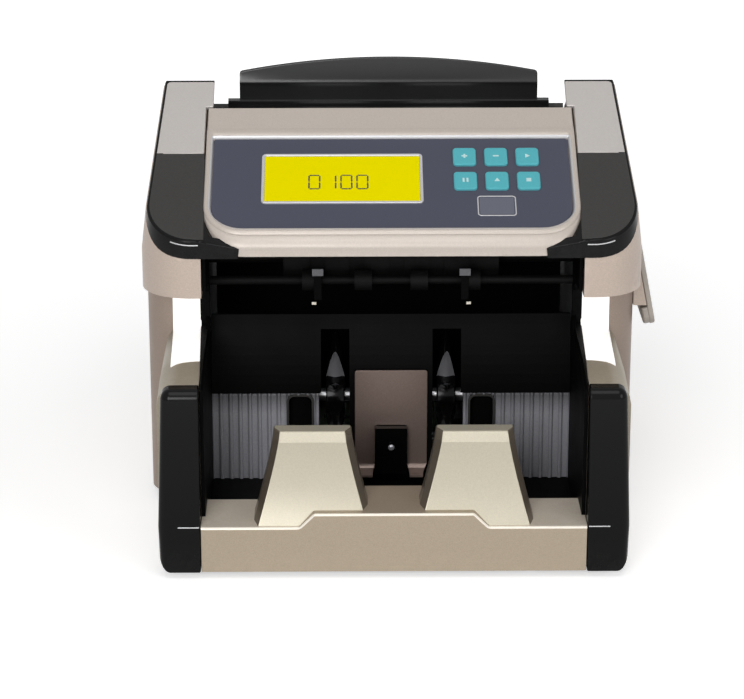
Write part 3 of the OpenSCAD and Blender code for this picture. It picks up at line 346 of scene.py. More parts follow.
# Every finish: its colour, how metallic and how rough it is, the grain's scale, how much the colour flecks,
# the grain's height, how much its edges wear, and what only it has: a clear coat, less shine, a glow that
# paints light on a part that is no lamp, or a painted shade that darkens it upwards, as the height in
# millimetres where it ends, the height where it starts, and the share of the colour that is left
finishColumns = ("colour", "metal", "rough", "grain", "fleck", "bump", "wear")
finishExtras = {"coat": 0.0, "shine": 0.5, "glow": 0.0, "fade": None}
finishes = {
    "champagnePaint": ((186, 170, 158), 0.3, 0.4, 1500, 0.1, 0.02, 0.35, {}),
    # painted shade: a darker copy of the champagne paint for the lower body
    "paintedShadeChampagne": ((150, 134, 122), 0.3, 0.42, 1500, 0.1, 0.02, 0.3, {}),
    # painted highlight: near-white and glowing, for the strip in the side notch
    "whiteLiner": ((252, 251, 249), 0.0, 0.5, 1500, 0.02, 0.01, 0.0, {"glow": 0.55}),
    # painted highlight: a pale cream for bright lines on bevels and a spot under the head
    "paintedHighlightCream": ((246, 238, 224), 0.1, 0.3, 1500, 0.04, 0.0, 0.0, {}),
    "deckPaint": ((190, 180, 171), 0.25, 0.4, 1500, 0.07, 0.02, 0.35, {}),
    "barPaint": ((171, 157, 137), 0.3, 0.42, 1500, 0.1, 0.02, 0.35, {}),
    # painted light: a lighter copy of the bar's paint for its upward faces
    "barTop": ((226, 213, 196), 0.2, 0.42, 1500, 0.08, 0.02, 0.3, {}),
    # painted shade: a darker copy of the fingers' paint for their side faces
    "facetPaint": ((118, 108, 95), 0.4, 0.3, 1500, 0.1, 0.02, 0.5, {}),
    "armPaint": ((156, 146, 129), 0.3, 0.42, 1500, 0.1, 0.02, 0.3, {}),
    "guardBlack": ((30, 30, 31), 0.0, 0.22, 500, 0.05, 0.004, 0.1, {"shine": 0.4}),
    "warmPaint": ((192, 185, 166), 0.25, 0.36, 1500, 0.08, 0.02, 0.35, {}),
    "palePlate": ((193, 188, 184), 0.25, 0.45, 1500, 0.06, 0.02, 0.3, {}),
    "glossBlack": ((7, 7, 7), 0.0, 0.16, 500, 0.05, 0.004, 0.1, {"shine": 0.13}),
    "darkPlate": ((60, 59, 58), 0.0, 0.42, 900, 0.1, 0.03, 0.2, {"shine": 0.15}),
    "mattBlack": ((5, 5, 5), 0.0, 0.5, 900, 0.12, 0.04, 0.05, {"shine": 0.04}),
    # painted highlight: pale grey for one lit paddle of each wheel and the sensor's lens
    "paintedHighlightGrey": ((170, 170, 176), 0.5, 0.22, 900, 0.06, 0.01, 0.2, {}),
    "bracketGrey": ((104, 104, 108), 0.1, 0.45, 900, 0.1, 0.04, 0.1, {}),
    # painted shade: the ribs darken upwards, towards the recess under the head
    "ribGrey": ((148, 148, 154), 0.1, 0.45, 900, 0.1, 0.04, 0.05, {"fade": (71.0, 57.0, 0.22)}),
    "slateFilm": ((80, 82, 96), 0.0, 0.4, 2200, 0.05, 0.03, 0.0, {"shine": 0.1}),
    "displayFace": ((246, 232, 0), 0.0, 0.4, 2200, 0.03, 0.0, 0.0, {"shine": 0.0}),
    "displayMark": ((60, 62, 30), 0.0, 0.4, 2200, 0.05, 0.0, 0.0, {}),
    "silverRim": ((190, 190, 192), 0.5, 0.35, 1500, 0.05, 0.01, 0.2, {}),
    "keyBlue": ((92, 184, 194), 0.0, 0.45, 1600, 0.04, 0.04, 0.3, {"shine": 0.12}),
    "keyMark": ((196, 228, 228), 0.0, 0.5, 1600, 0.05, 0.0, 0.0, {}),
    "bronzePlate": ((124, 108, 101), 0.5, 0.36, 1200, 0.1, 0.02, 0.4, {}),
    "brightSteel": ((176, 176, 178), 0.95, 0.3, 700, 0.08, 0.03, 0.1, {}),
    "galvanised": ((150, 152, 155), 0.85, 0.42, 260, 0.22, 0.02, 0.1, {}),
    "darkRubber": ((15, 14, 14), 0.0, 0.6, 700, 0.15, 0.08, 0.1, {"shine": 0.1}),
    "bushBronze": ((168, 134, 76), 0.9, 0.38, 700, 0.1, 0.02, 0.2, {}),
    "boardGreen": ((26, 84, 46), 0.0, 0.35, 300, 0.2, 0.02, 0.1, {"coat": 0.3}),
    "handleGrey": ((168, 161, 153), 0.25, 0.42, 1500, 0.06, 0.02, 0.3, {}),
    "badgeField": ((92, 95, 108), 0.1, 0.35, 2200, 0.05, 0.01, 0.0, {}),
    "rockerRed": ((150, 28, 22), 0.0, 0.3, 900, 0.05, 0.01, 0.2, {"coat": 0.3}),
}
for name, row in finishes.items():
    finishes[name] = Sizes({**dict(zip(finishColumns, row)), **finishExtras, **row[-1]})
coatRough = 0.08  # of every clear coat
cloudLow, cloudHigh = 0.3, 0.7  # the noise values between which the clouds run
glossSpread = 0.15  # how much the clouds vary the gloss
bumpGain, bumpDepth = 8, 0.0002  # bump strength for each unit of grain height, and its depth in metres


# One finish: fleck mixes a darker and a lighter shade of the colour, wear lightens it, clouds change the
# gloss, and grain lifts the surface
def buildFinish(name, f):
    made = bpy.data.materials.new(name)
    made.use_nodes = True
    tree = made.node_tree
    shader = tree.nodes["Principled BSDF"]
    shader.inputs["Metallic"].default_value = f.metal
    shader.inputs["Coat Weight"].default_value = f.coat
    shader.inputs["Coat Roughness"].default_value = coatRough
    shader.inputs["Specular IOR Level"].default_value = f.shine
    main = colour(*f.colour)
    shader.inputs["Emission Color"].default_value = main
    shader.inputs["Emission Strength"].default_value = f.glow
    grain = node(tree, "Group", node_tree=groups["grain"])
    grain.inputs["Scale"].default_value = f.grain
    tint = node(tree, "Mix", data_type="RGBA")
    tint.inputs[6].default_value = (*[c * (1 - f.fleck) for c in main[:3]], 1)
    tint.inputs[7].default_value = (*[min(1, c * (1 + f.fleck)) for c in main[:3]], 1)
    join(grain, "Fleck", tint, 0)
    wear = node(tree, "Group", node_tree=groups["wear"])
    strength = node(tree, "Math", operation="MULTIPLY")
    strength.inputs[1].default_value = f.wear
    worn = node(tree, "Mix", data_type="RGBA")
    worn.inputs[7].default_value = (*[min(1, c * wearLook.lighter + wearLook.lift) for c in main[:3]], 1)
    join(wear, "Mask", strength, 0)
    join(strength, 0, worn, 0)
    join(tint, 2, worn, 6)
    shown = (worn, 2)
    if f.fade:
        # painted shade: all of the colour below the low height, the share above the high one, evenly between
        high, low, share = f.fade
        place = node(tree, "TexCoord")
        axes = node(tree, "SeparateXYZ")
        level = node(tree, "MapRange", **{"From Min": high / 1000, "From Max": low / 1000,
                                          "To Min": share, "To Max": 1.0})
        dark = node(tree, "Mix", data_type="RGBA")
        dark.inputs[6].default_value = (0.0, 0.0, 0.0, 1.0)
        join(place, "Object", axes, 0)
        join(axes, "Z", level, "Value")
        join(level, 0, dark, 0)
        join(*shown, dark, 7)
        shown = (dark, 2)
    join(*shown, shader, "Base Color")
    gloss = node(tree, "MapRange", **{"From Min": cloudLow, "From Max": cloudHigh,
                                      "To Min": f.rough * (1 - glossSpread),
                                      "To Max": f.rough * (1 + glossSpread)})
    join(grain, "Clouds", gloss, "Value")
    join(gloss, 0, shader, "Roughness")
    if f.bump:
        bump = node(tree, "Bump", Strength=min(1.0, f.bump * bumpGain), Distance=bumpDepth)
        join(grain, "Height", bump, "Height")
        join(bump, "Normal", shader, "Normal")
    return made


for name, f in finishes.items():
    materials[name] = buildFinish(name, f)

# The finish of the frame's pieces by their slot, and of single ones by name; none of them shows wear
slotFinish = {
    "casing": "champagnePaint", "pale_plate": "palePlate", "gloss_black": "glossBlack",
    "dark_trim": "darkPlate", "matt_black": "mattBlack", "rib_grey": "ribGrey", "panel_film": "slateFilm",
    "display_lens": "displayFace", "display_rim": "silverRim", "key": "keyBlue", "sheet_metal": "bronzePlate",
    "steel": "galvanised", "rubber": "darkRubber", "bronze": "bushBronze", "board": "boardGreen",
    "handle_grey": "handleGrey", "rocker_red": "rockerRed",
}
nodeFinish = {
    "exit_rollers": "darkRubber", "stacker_shaft": "brightSteel", "hinge_pins": "brightSteel",
    "left_finger": "warmPaint", "right_finger": "warmPaint", "base_tray": "mattBlack",
    # the rear cover takes the painted shade of the lower body
    "rear_cover": "paintedShadeChampagne",
}
for part in frame["record"]["subparts"]:
    chosen = nodeFinish.get(part["node"], slotFinish[part["material_slot"]])
    plain = chosen + "Plain"
    if plain not in materials:
        materials[plain] = buildFinish(plain, Sizes(finishes[chosen], wear=0.0))
    shown = frame["nodes"][part["node"]].data.materials
    shown.clear()
    shown.append(materials[plain])

# Widths in millimetres of the rounded edges that some of them get
edgeWidths = {"handle_boss": 0.7, "rear_door": 0.8, "rear_cover": 0.5, "rear_sockets": 0.3,
              "rubber_feet": 0.6}
for name, width in edgeWidths.items():
    roundEdges(frame["nodes"][name], width, 40)
print("stage: finishes built")

# The side casing's plan and wall: radii, points of the front corner, the black band's depth in front and
# behind, and the window behind the handle's hinge
sideCover = Sizes(
    rearRound=18.0, headRound=28.0, corner=10, straight=5, rearSteps=9, backGap=0.1, edge=1.1,
    bandHigh=10.4, bandLow=2.3, bandFrom=-95.0, bandTo=-64.0, ridgeDrop=-2.05,
    waist=75.0, columns=(-10.0, 60.0, 100.0), windowHalf=34.1, windowLow=152.5, windowHigh=163.5,
    underTop=1.5, leanUnder=0.5, shadeBelow=1.0,
)


# Depth of the black band below the slope: full at the front, thin beside the plates, eased between
def bandDepth(y):
    u = np.clip((y - sideCover.bandFrom) / (sideCover.bandTo - sideCover.bandFrom), 0, 1)
    return sideCover.bandHigh + (sideCover.bandLow - sideCover.bandHigh) * u * u * (3 - 2 * u)


# Quarter circle in plan: centre plus radius times cosine and sine of the angle
def quarter(x, y, radius, start, count):
    a = np.radians(np.linspace(start, start + 90, count))
    return np.stack([x + radius * np.cos(a), y + radius * np.sin(a)], 1)


# Plan line of a side cover from its inner front corner, round the front, along the side and round the
# back: quarter circles joined by straight runs. Both fronts have as many points up to the back of the
# notch's corner.
def coverPlan(front, radius, count, straight):
    half, rearRound = casing.half, sideCover.rearRound
    meet = casing.notch + rearRound
    arc = quarter(half - radius, front + radius, radius, -90, count + (straight == 0))[:count]
    run = np.linspace(front + radius, meet, straight + 2)[1:-1]
    run[-1:] = -sideCover.windowHalf
    middleAt, *rearAt = sideCover.columns
    side = np.concatenate([run, [meet, middleAt, ridgeY, sideCover.windowHalf, *rearAt]])
    end = casing.back - sideCover.backGap
    back = quarter(half - rearRound, casing.back - rearRound - sideCover.backGap, rearRound, 0,
                   sideCover.rearSteps)
    return np.concatenate([[[casing.inner, front]], arc, np.stack([np.full(len(side), half), side], 1), back,
                           [[casing.inner, end]]])


# The side casing: plan lines stacked upwards, the body's below the head and the head's above it, leaning in
for name, k in mirrored.items():
    body = coverPlan(casing.notch, sideCover.rearRound, sideCover.corner + sideCover.straight, 0)
    head = coverPlan(casing.headFront, sideCover.headRound, sideCover.corner, sideCover.straight)
    y = head[:, 1]
    top = np.where(y < ridgeY + 0.01, slopeHeight(y) - bandDepth(y), rearHeight(y, sideCover.ridgeDrop))
    levels = [(body, casing.skirt), (body, sideCover.waist), (body, casing.headLow), (head, casing.headLow),
              (head, sideCover.windowLow), (head, np.minimum(top - sideCover.underTop, sideCover.windowHigh)),
              (head, np.minimum(top - sideCover.leanUnder, casing.leanFrom)), (head, top)]
    rings = np.stack([stack(p[:, 0] - lean(z), p[:, 1], z) for p, z in levels])
    inward = rings[-1:].copy()
    inward[..., 0] = casing.inner
    rings = np.concatenate([rings, inward])
    # the right wall is open behind the carrying handle's hinge, between the columns beside its ends
    start, end = np.abs(y[None] - sideCover.windowHalf * np.array([[-1.0], [1.0]])).argmin(1)
    window = (4, 5, start, end) if k > 0 else None
    cover = piece(name + "_side_body", [(rings, {**openSheet, "window": window})], "champagnePaint", "casing",
                  replaced=[name + "_side_cover"], mirror=k, wall=casing.wall, bevel=sideCover.edge, sharp=34)
    # below the head the cover takes a darker copy of its paint: painted shade on the lower body
    shadeTop = casing.headLow - sideCover.shadeBelow
    secondFinish(cover, "paintedShadeChampagne", lambda centre, normal: centre[:, 2] < shadeTop)

baseArm = Sizes(front=-140.8, back=-38.0, low=4.0, hump=112.0, humpFrom=-110.0, humpRound=60, frontTop=107.9,
                side=129.5, round=12.0)
cheek = Sizes(
    front=-157.0, back=-141.0, low=4.0, lean=6.5, top=106.7, backTop=107.9, side=126.4, round=5.0, crest=6.5,
    innerRound=0.8, footRound=1.9, ledge=30.0, ledgeRise=0.9, ledgeIn=1.0, ledgeFade=6, steps=8,
    bow=3.4, bowFrom=110, bowWide=18, bowMiddle=38, bowHalf=72,
)


# Middle of each edge of an outline: half the sum of its ends
def middles(outline):
    return (outline + np.roll(outline, -1, 0)) / 2


for name, k in mirrored.items():
    # the arm beside the pocket, its crown a wide arc and its ends left square
    outline = rounded([(baseArm.front, baseArm.low), (baseArm.back, baseArm.low),
                       (baseArm.back, baseArm.hump), (baseArm.humpFrom, baseArm.hump),
                       (baseArm.front, baseArm.frontTop)], [0, 0, 0, baseArm.humpRound, 0])
    depth = middles(outline)[:, 0]
    weight = np.where((depth < baseArm.front + 0.02) | (depth > baseArm.back - 0.02), 0.0, 1.0)
    slab(name + "_base_arm", outline, casing.inner, baseArm.side, (0.02, baseArm.round), alongX, "armPaint",
         "casing", weight=weight, mirror=k, sharp=34)
    # the cheek in front of it: a slab that steps in above the ledge and bows outwards as a cosine of height
    outline = rounded([(cheek.front, cheek.low), (cheek.back, cheek.low), (cheek.back, cheek.backTop),
                       (cheek.front + cheek.lean, cheek.top), (cheek.front, cheek.ledge)],
                      [0, 0, 0, cheek.crest, 0], steps=cheek.steps)
    middle = middles(outline)
    weight = np.where(middle[:, 1] < cheek.low + 0.02, cheek.footRound, 1.0)
    weight[middle[:, 0] > cheek.back - 0.02] = 0.0
    y, z, x = slabRings(outline, casing.inner, cheek.side, cheek.innerRound, cheek.round, weight=weight,
                        steps=cheek.steps)
    rise = np.clip((z - cheek.ledge + 0.2) / cheek.ledgeRise, 0, 1)
    y = np.minimum(y + cheek.ledgeIn * rise * np.clip((cheek.back - 3 - y) / cheek.ledgeFade, 0, 1),
                   cheek.back)
    swell = np.cos(np.clip((z - cheek.bowMiddle) / cheek.bowHalf, -1, 1) * math.pi / 2)
    bow = cheek.bow * np.clip((x - cheek.bowFrom) / cheek.bowWide, 0, 1) * swell
    piece(name + "_cheek_cap", [alongX(y, z, x + bow)], "glossBlack", "gloss_black", mirror=k,
          replaced=[name + "_cheek"], sharp=28)

# The carrying handle in its own plane: its hinge end's place, its fall across per millimetre down, its
# plate, the lip at its free end, the barrel round the hinge pin, and the rest for the thumb
handle = Sizes(
    top=(143.8, 160.5), fall=0.2, half=33.4, start=0.3, long=56.3, thick=3.4, round=7.0, rim=0.35,
    hingeRound=2, lip=12.0, lipThick=7.2, lipIn=0.4, lipEnd=0.6, lipRound=1.5, barrel=2.9,
    pivot=(139.6, 158.0), barrelIn=0.2,
    restHalf=20, restFrom=17, restTo=40, restRound=6,
)


# A point of the handle, given across, down the plate from its hinge and square to it: the hinge end's
# place plus v along the plate's fall and h along its normal
def onHandle(y, v, h):
    size = math.hypot(1, handle.fall)
    return stack(handle.top[0] + (v * handle.fall + h) / size, y,
                 handle.top[1] - (v - h * handle.fall) / size)


leaf = rounded(box2(-handle.half, handle.start, handle.half, handle.long),
               [handle.hingeRound, handle.hingeRound, handle.round, handle.round])
grids = [onHandle(*slabRings(leaf, -handle.thick, -handle.rim, 0.5, 0.9))]
side = handle.half - handle.lipIn
lip = rounded(box2(-side, handle.long - handle.lip, side, handle.long - handle.lipEnd),
              [handle.lipRound, handle.lipRound, handle.round - 1, handle.round - 1])
grids.append(onHandle(*slabRings(lip, -handle.lipThick, -handle.thick + 0.4, 1.4, 0.1)))
# the barrel: a circle about the hinge pin, carried from end to end
a = np.radians(np.arange(0, 360, 20))[None]
ends = np.array([-handle.half + handle.barrelIn, handle.half - handle.barrelIn])[:, None]
grids.append(stack(handle.pivot[0] + handle.barrel * np.cos(a), ends,
                   handle.pivot[1] + handle.barrel * np.sin(a)))
# the thumb rest's raised rim: its outline drawn in step by step, at the heights beside them
rest = rounded(box2(-handle.restHalf, handle.restFrom, handle.restHalf, handle.restTo), handle.restRound)
profile = [(0, -handle.rim - 0.3), (0, -0.12), (0.15, 0.0), (0.75, 0.0), (0.9, -0.12),
           (0.9, -handle.rim - 0.3)]
grids.append((np.stack([onHandle(*inset(rest, d).T, h) for d, h in profile]), {"along": True}))
piece("handle_plate", grids, "handleGrey", "handle_grey", body="handle", replaced=["carry_handle"])
print("stage: side casings")

# The bezel's size up the slope, its raised rim round the panel, the nose at its edge, and the lip
bezel = Sizes(
    half=105.4, front=-0.4, end=109.3, round=24.0, backRound=1.2, steps=10, rim=1.6, under=3.3, floor=1.45,
    nose=6.5, noseDrop=4.6, noseSteps=8, sideNose=0.12, lipHalf=85.4, lipLow=167.3, lipThick=2.6, apron=16.0,
    dipWide=9,
)
band = Sizes(start=85.7, front=-97.6, side=140.0, top=0.05, inner=5.0, edge=1.3, overlap=0.15)
plates = Sizes(
    innerEdge=105.9, seam=70.1, gap=0.25, deckEnd=109.8, slot=4.2, thick=2.0, underRound=0.05, round=0.7,
    end=131.7, darkTop=0.25, paleTop=0.2, sideGap=0.5, innerGap=0.5, rounds=(0, 0, 2.5, 1.0, 0.8, 0.8),
)
cornerFill = Sizes(drop=0.45, wall=2.0, gap=0.15, back=108.5, front=-0.55, start=-80, turn=-35)


# Plan line round the head from the middle outwards, drawn in by d: a quarter circle between straight runs
def headLine(d, start, count=14, last=None):
    r = sideCover.headRound - d
    x, y = band.side - d, band.front + d
    arc = quarter(x - r, y + r, r, -90, count)
    side = np.linspace(y + r, ridgeY if last is None else last, 12)[1:]
    return np.concatenate([[[start, y]], arc, np.stack([np.full(len(side), x), side], 1)])


# A plan line's points on the slope: across less the lean, and the depth divided by the tilt's cosine
def toSlope(line):
    y = line[:, 1]
    return np.stack([line[:, 0] - lean(slopeHeight(y)), (y - casing.headFront) / cosine], 1)


# How far the black parts drop below the slope beneath the bezel's nose: its drop, eased over dipWide
def dip(x):
    u = np.clip((bezel.half + 0.3 - x) / bezel.dipWide, 0, 1)
    return bezel.noseDrop * u * u * (3 - 2 * u)


for name, k in mirrored.items():
    # the black band: a closed section carried round the head, its lower edge rising behind the corner
    section = [(0, "low"), (0, -0.9), (0.25, -0.35), (0.8, -band.top), (band.inner, -band.top),
               (band.inner, "low")]
    outer = headLine(0, band.start)[:, 1]
    bottom = slopeHeight(outer) - bandDepth(outer) + band.overlap
    rings = []
    for d, h in section:
        line = headLine(d, band.start)
        y = line[:, 1]
        z = bottom if h == "low" else slopeHeight(y) + h - dip(line[:, 0])
        rings.append(stack(line[:, 0] - lean(z), y, z))
    piece(name + "_edge_band", [np.stack(rings, 1)], "glossBlack", "gloss_black", mirror=k)

    # the dark plate inside the band
    line = toSlope(headLine(band.edge, plates.innerEdge, last=casing.headFront + plates.seam * cosine))
    outline = np.concatenate([line, [[plates.innerEdge, plates.seam]]])
    slab(name + "_dark_plate", outline, -plates.thick, plates.darkTop, (plates.underRound, plates.round),
         onSlope, "darkPlate", "dark_trim", mirror=k, replaced=[name + "_dark_trim"])

    # the pale plate behind it, stepped in beside the hopper
    s = np.array([plates.seam + plates.gap, plates.end])
    edge = casing.half - plates.sideGap - band.edge - lean(casing.slopeEdge + s * sine)
    inner = plates.innerEdge + plates.innerGap
    step = inner - plates.slot
    corners = [(inner, s[0]), *np.stack([edge, s], 1), (step, plates.end), (step, plates.deckEnd),
               (inner, plates.deckEnd)]
    outline = rounded(corners, plates.rounds, steps=3)
    slab(name + "_pale_plate", outline, -plates.thick, plates.paleTop, (plates.underRound, plates.round),
         onSlope, "palePlate", "pale_plate", mirror=k, replaced=[name + "_top_plate"])

panel = Sizes(half=101.0, low=8.6, high=82.0, round=18.0, backRound=1.5, steps=10, thick=1.3)


# The panel's outline: a rectangle with two wide corners, grown to both sides, down and up
def panelShape(side, low, high):
    wide = panel.round + side
    return rounded(box2(-panel.half - side, panel.low - low, panel.half + side, panel.high + high),
                   [wide, wide, panel.backRound, panel.backRound], steps=panel.steps)


deck = rounded(box2(-bezel.half, bezel.front, bezel.half, bezel.end),
               [bezel.round, bezel.round, bezel.backRound, bezel.backRound], steps=bezel.steps)
edges = np.roll(deck, -1, 0) - deck
facing = -np.clip(-edges[:, 0] / np.maximum(np.linalg.norm(edges, axis=1), 1e-9), -1, 1)
noseWeight = bezel.sideNose + (1 - bezel.sideNose) * np.clip(facing, 0, 1) ** 2

# The bezel: rings from the panel's hole over the rim and the deck to the lip, and back below.
# Each ring is an outline and a drop below the slope; the nose drops as a quarter ellipse.
hole = [((-8, -8, -8), bezel.under), ((-8, -8, -8), bezel.floor), ((0.2, 0.2, 0.2), bezel.floor),
        ((0.25, 0.25, 0.3), -0.1), ((1.0, 1.0, 2.8), -1.3), ((1.6, 1.6, 3.6), -bezel.rim),
        ((3.3, 3.3, 6.6), -bezel.rim), ((4.0, 4.0, 7.6), -1.0), ((4.3, 4.3, 8.2), 0.0)]
rings = [(panelShape(*growth), drop) for growth, drop in hole]
for a in np.radians(np.linspace(0, 90, bezel.noseSteps)):
    rings.append((inset(deck, bezel.nose * (1 - math.sin(a)), noseWeight),
                  bezel.noseDrop * (1 - math.cos(a))))
sheet = [stack(o[:, 0], casing.headFront + o[:, 1] * cosine, casing.slopeEdge + o[:, 1] * sine - drop)
         for o, drop in rings]
low = sheet[-1].copy()
deepZ = casing.slopeEdge + deck[:, 1] * sine - bezel.noseDrop - 0.6
onLip = (deck[:, 1] < 3) & (np.abs(deck[:, 0]) < bezel.lipHalf + 0.01)
low[:, 2] = np.where(onLip, bezel.lipLow, np.where(deck[:, 1] > bezel.end - 0.5, deepZ - bezel.apron, deepZ))
inside = inset(deck, bezel.lipThick)
lowIn = low.copy()
lowIn[:, 0], lowIn[:, 1] = inside[:, 0], casing.headFront + inside[:, 1] * cosine
upIn = lowIn.copy()
upIn[:, 2] = np.maximum(lowIn[:, 2] + 0.05, casing.slopeEdge + inside[:, 1] * sine - bezel.noseDrop)
piece("bezel", [(np.stack(sheet + [low, lowIn, upIn]), {"along": True})], "deckPaint", "casing",
      replaced=["head_cover"], sharp=40)

# The black corner below the bezel's round corner: straight lines from its arc to the band, angle by angle
for name, k in mirrored.items():
    a = np.linspace(cornerFill.start, 0, 17)
    r, cx, cs = bezel.round + cornerFill.gap, bezel.half - bezel.round, bezel.front + bezel.round
    inner = np.stack([cx + r * np.cos(np.radians(a)), cs + r * np.sin(np.radians(a))], 1)
    outer = np.stack([np.interp(a, [cornerFill.start, cornerFill.turn], [band.start, cornerFill.back]),
                      np.interp(a, [cornerFill.turn, 0], [cornerFill.front, cs])], 1)
    v = np.linspace(0, 1, 6)[:, None, None]
    flat = inner[None] + (outer - inner)[None] * v
    x, y = flat[..., 0], casing.headFront + flat[..., 1] * cosine
    sheet = stack(x, y, slopeHeight(y) - cornerFill.drop - dip(x))
    piece(name + "_corner_fill", [(sheet, openSheet)], "glossBlack", "gloss_black", mirror=k,
          wall=cornerFill.wall)
print("stage: head")

display = Sizes(left=-73.3, low=28.5, wide=91.0, high=40.4, rim=1.8, round=2.4, top=1.0, glass=0.35,
                glassLow=-1.2)
keys = Sizes(x=41.5, pitch=17.8, row=46.2, rowPitch=19.8, wide=13.2, high=14.2, round=2.2, low=-2.2, top=1.6,
             fillet=0.9, markSize=0.55, markLow=-0.02, markHigh=0.05)
badge = Sizes(left=47.6, right=69.3, low=18.7, high=34.8, round=2.0, line=0.7, gap=0.6, top=0.22)

slab("panel_film", inset(panelShape(0, 0, 0), 0.1), -panel.thick, 0.0, (0.05, 0.25), onSlope, "slateFilm",
     "panel_film", replaced=["control_panel"], sharp=60)


# A flat frame on the slope: rings of one outline drawn in step by step, each at its height
def frameRing(name, outline, profile, finish, slot, **options):
    points = np.stack([onSlope(*inset(outline, d).T, h) for d, h in profile])
    return piece(name, [(points, {"along": True})], finish, slot, sharp=60, **options)


outer = rounded(box2(display.left, display.low, display.left + display.wide, display.low + display.high),
                display.round)
profile = [(0, -0.3), (0, display.top - 0.4), (0.15, display.top - 0.12), (0.45, display.top),
           (display.rim - 0.5, display.top), (display.rim - 0.1, display.top - 0.25),
           (display.rim, display.top - 0.6), (display.rim, -0.3)]
frameRing("display_bezel", outer, profile, "silverRim", "display_rim", replaced=["display_frame"])
slab("display_glass", inset(outer, display.rim + 0.05), display.glassLow, display.glass, (0.05, 0.08),
     onSlope, "displayFace", "display_lens", replaced=["display_window"], sharp=60)

# The figures: what they show, the place of the first, and the size of each; a figure has seven bars
figure = Sizes(text="0100", x=-46.5, s=40.5, wide=6.0, high=11.0, bar=1.1, gap=9.0, between=0.12, thick=0.06)
segments = {"0": (0, 1, 2, 3, 4, 5), "1": (1, 2)}
ends = [(0, 1, 1, 1), (1, 1, 1, 0.5), (1, 0.5, 1, 0), (0, 0, 1, 0), (0, 0, 0, 0.5), (0, 0.5, 0, 1),
        (0, 0.5, 1, 0.5)]


# One bar of a figure: a hexagon between two ends, its corners half a bar in from each end and to each side
def segmentBar(x0, s0, x1, s1, half):
    p0, p1 = np.array([x0, s0]), np.array([x1, s1])
    along = (p1 - p0) / np.linalg.norm(p1 - p0) * half
    across = np.array([-along[1], along[0]])
    return np.stack([p0, p0 + along + across, p1 - along + across, p1, p1 - along - across,
                     p0 + along - across])


grids = []
for place, sign in enumerate(figure.text):
    left = figure.x + place * figure.gap
    for number in segments[sign]:
        x0, s0, x1, s1 = ends[number]
        outline = segmentBar(left + x0 * figure.wide, figure.s + s0 * figure.high, left + x1 * figure.wide,
                             figure.s + s1 * figure.high, figure.bar / 2)
        outline = inset(outline, figure.between).T
        grids.append(np.stack([onSlope(*outline, display.glass + h) for h in (0.0, figure.thick)]))
piece("display_figures", grids, "displayMark", "display_lens", sharp=60)

# Marks of the keys, as outlines about each key's middle that markSize scales to millimetres
plus = [(-1, -3), (1, -3), (1, -1), (3, -1), (3, 1), (1, 1), (1, 3), (-1, 3), (-1, 1), (-3, 1), (-3, -1),
        (-1, -1)]
marks = {
    "key_top_1": [plus],
    "key_top_2": [box2(-3, -1, 3, 1)],
    "key_top_3": [[(-2, -3), (3, 0), (-2, 3)]],
    "key_low_1": [box2(-3, -3, -1, 3), box2(1, -3, 3, 3)],
    "key_low_2": [[(-3, -2), (3, -2), (0, 3)]],
    "key_low_3": [box2(-2.5, -2.5, 2.5, 2.5)],
}
for name, shapes in marks.items():
    column, row = int(name[-1]) - 1, 1 if "top" in name else 0
    x, s = keys.x + column * keys.pitch, keys.row + row * keys.rowPitch
    outline = rounded(box2(x - keys.wide / 2, s - keys.high / 2, x + keys.wide / 2, s + keys.high / 2),
                      keys.round)
    button = name.replace("key", "button")
    slab(name + "_cap", outline, keys.low, keys.top, (0.1, keys.fillet), onSlope, "keyBlue", "key",
         body=button, replaced=[name], sharp=60)
    grids = []
    for shape in shapes:
        mark = (np.array(shape, float) * keys.markSize + [x, s]).T
        grids.append(np.stack([onSlope(*mark, keys.top + h) for h in (keys.markLow, keys.markHigh)]))
    piece(name + "_mark", grids, "keyMark", "key", body=button, sharp=60)

outline = rounded(box2(badge.left, badge.low, badge.right, badge.high), badge.round)
profile = [(0, -0.1), (0, badge.top - 0.1), (0.1, badge.top), (badge.line - 0.1, badge.top),
           (badge.line, badge.top - 0.1), (badge.line, -0.1)]
frameRing("badge_frame", outline, profile, "silverRim", "display_rim")
slab("badge_field", inset(outline, badge.line + badge.gap), -0.1, 0.1, (0.02, 0.06), onSlope, "badgeField",
     "panel_film", sharp=60)
print("stage: panel")

# The hopper's guard: its half width, its arch's half width and rise, the step beside that, and its depths
guard = Sizes(half=96.0, topHalf=89.0, top=245.0, arch=8.5, step=219.7, low=198.5, front=54.0, back=57.0,
              foot=62.0, skirtTop=214.0, footRise=3, kickRise=9, end=1.5, fall=1.3, tail=0.001, under=1.2)
guardBracket = Sizes(inset=6, outer=106.3, deep=8, thick=3, edge=0.3)


# Height of the guard's top edge at x: the circle through the arch's middle and ends, or the step beside it
def guardTop(x):
    radius = (guard.topHalf ** 2 + guard.arch ** 2) / (2 * guard.arch)
    circle = guard.top - radius + np.sqrt(radius**2 - x**2)
    return np.where(np.abs(x) > guard.topHalf + guard.tail, guard.step, circle)


beside = guard.topHalf + 2 * guard.tail
half = np.concatenate([np.linspace(0, guard.topHalf - guard.end, 16),
                       [guard.topHalf - 0.5, guard.topHalf, beside, guard.half - 0.4, guard.half]])
x = np.concatenate([-half[:0:-1], half])
fallAt = [guard.topHalf - guard.end, guard.topHalf - 0.5, guard.topHalf, beside]
top = guardTop(x) - np.interp(np.abs(x), fallAt, [0, 0.35, guard.fall, 0])
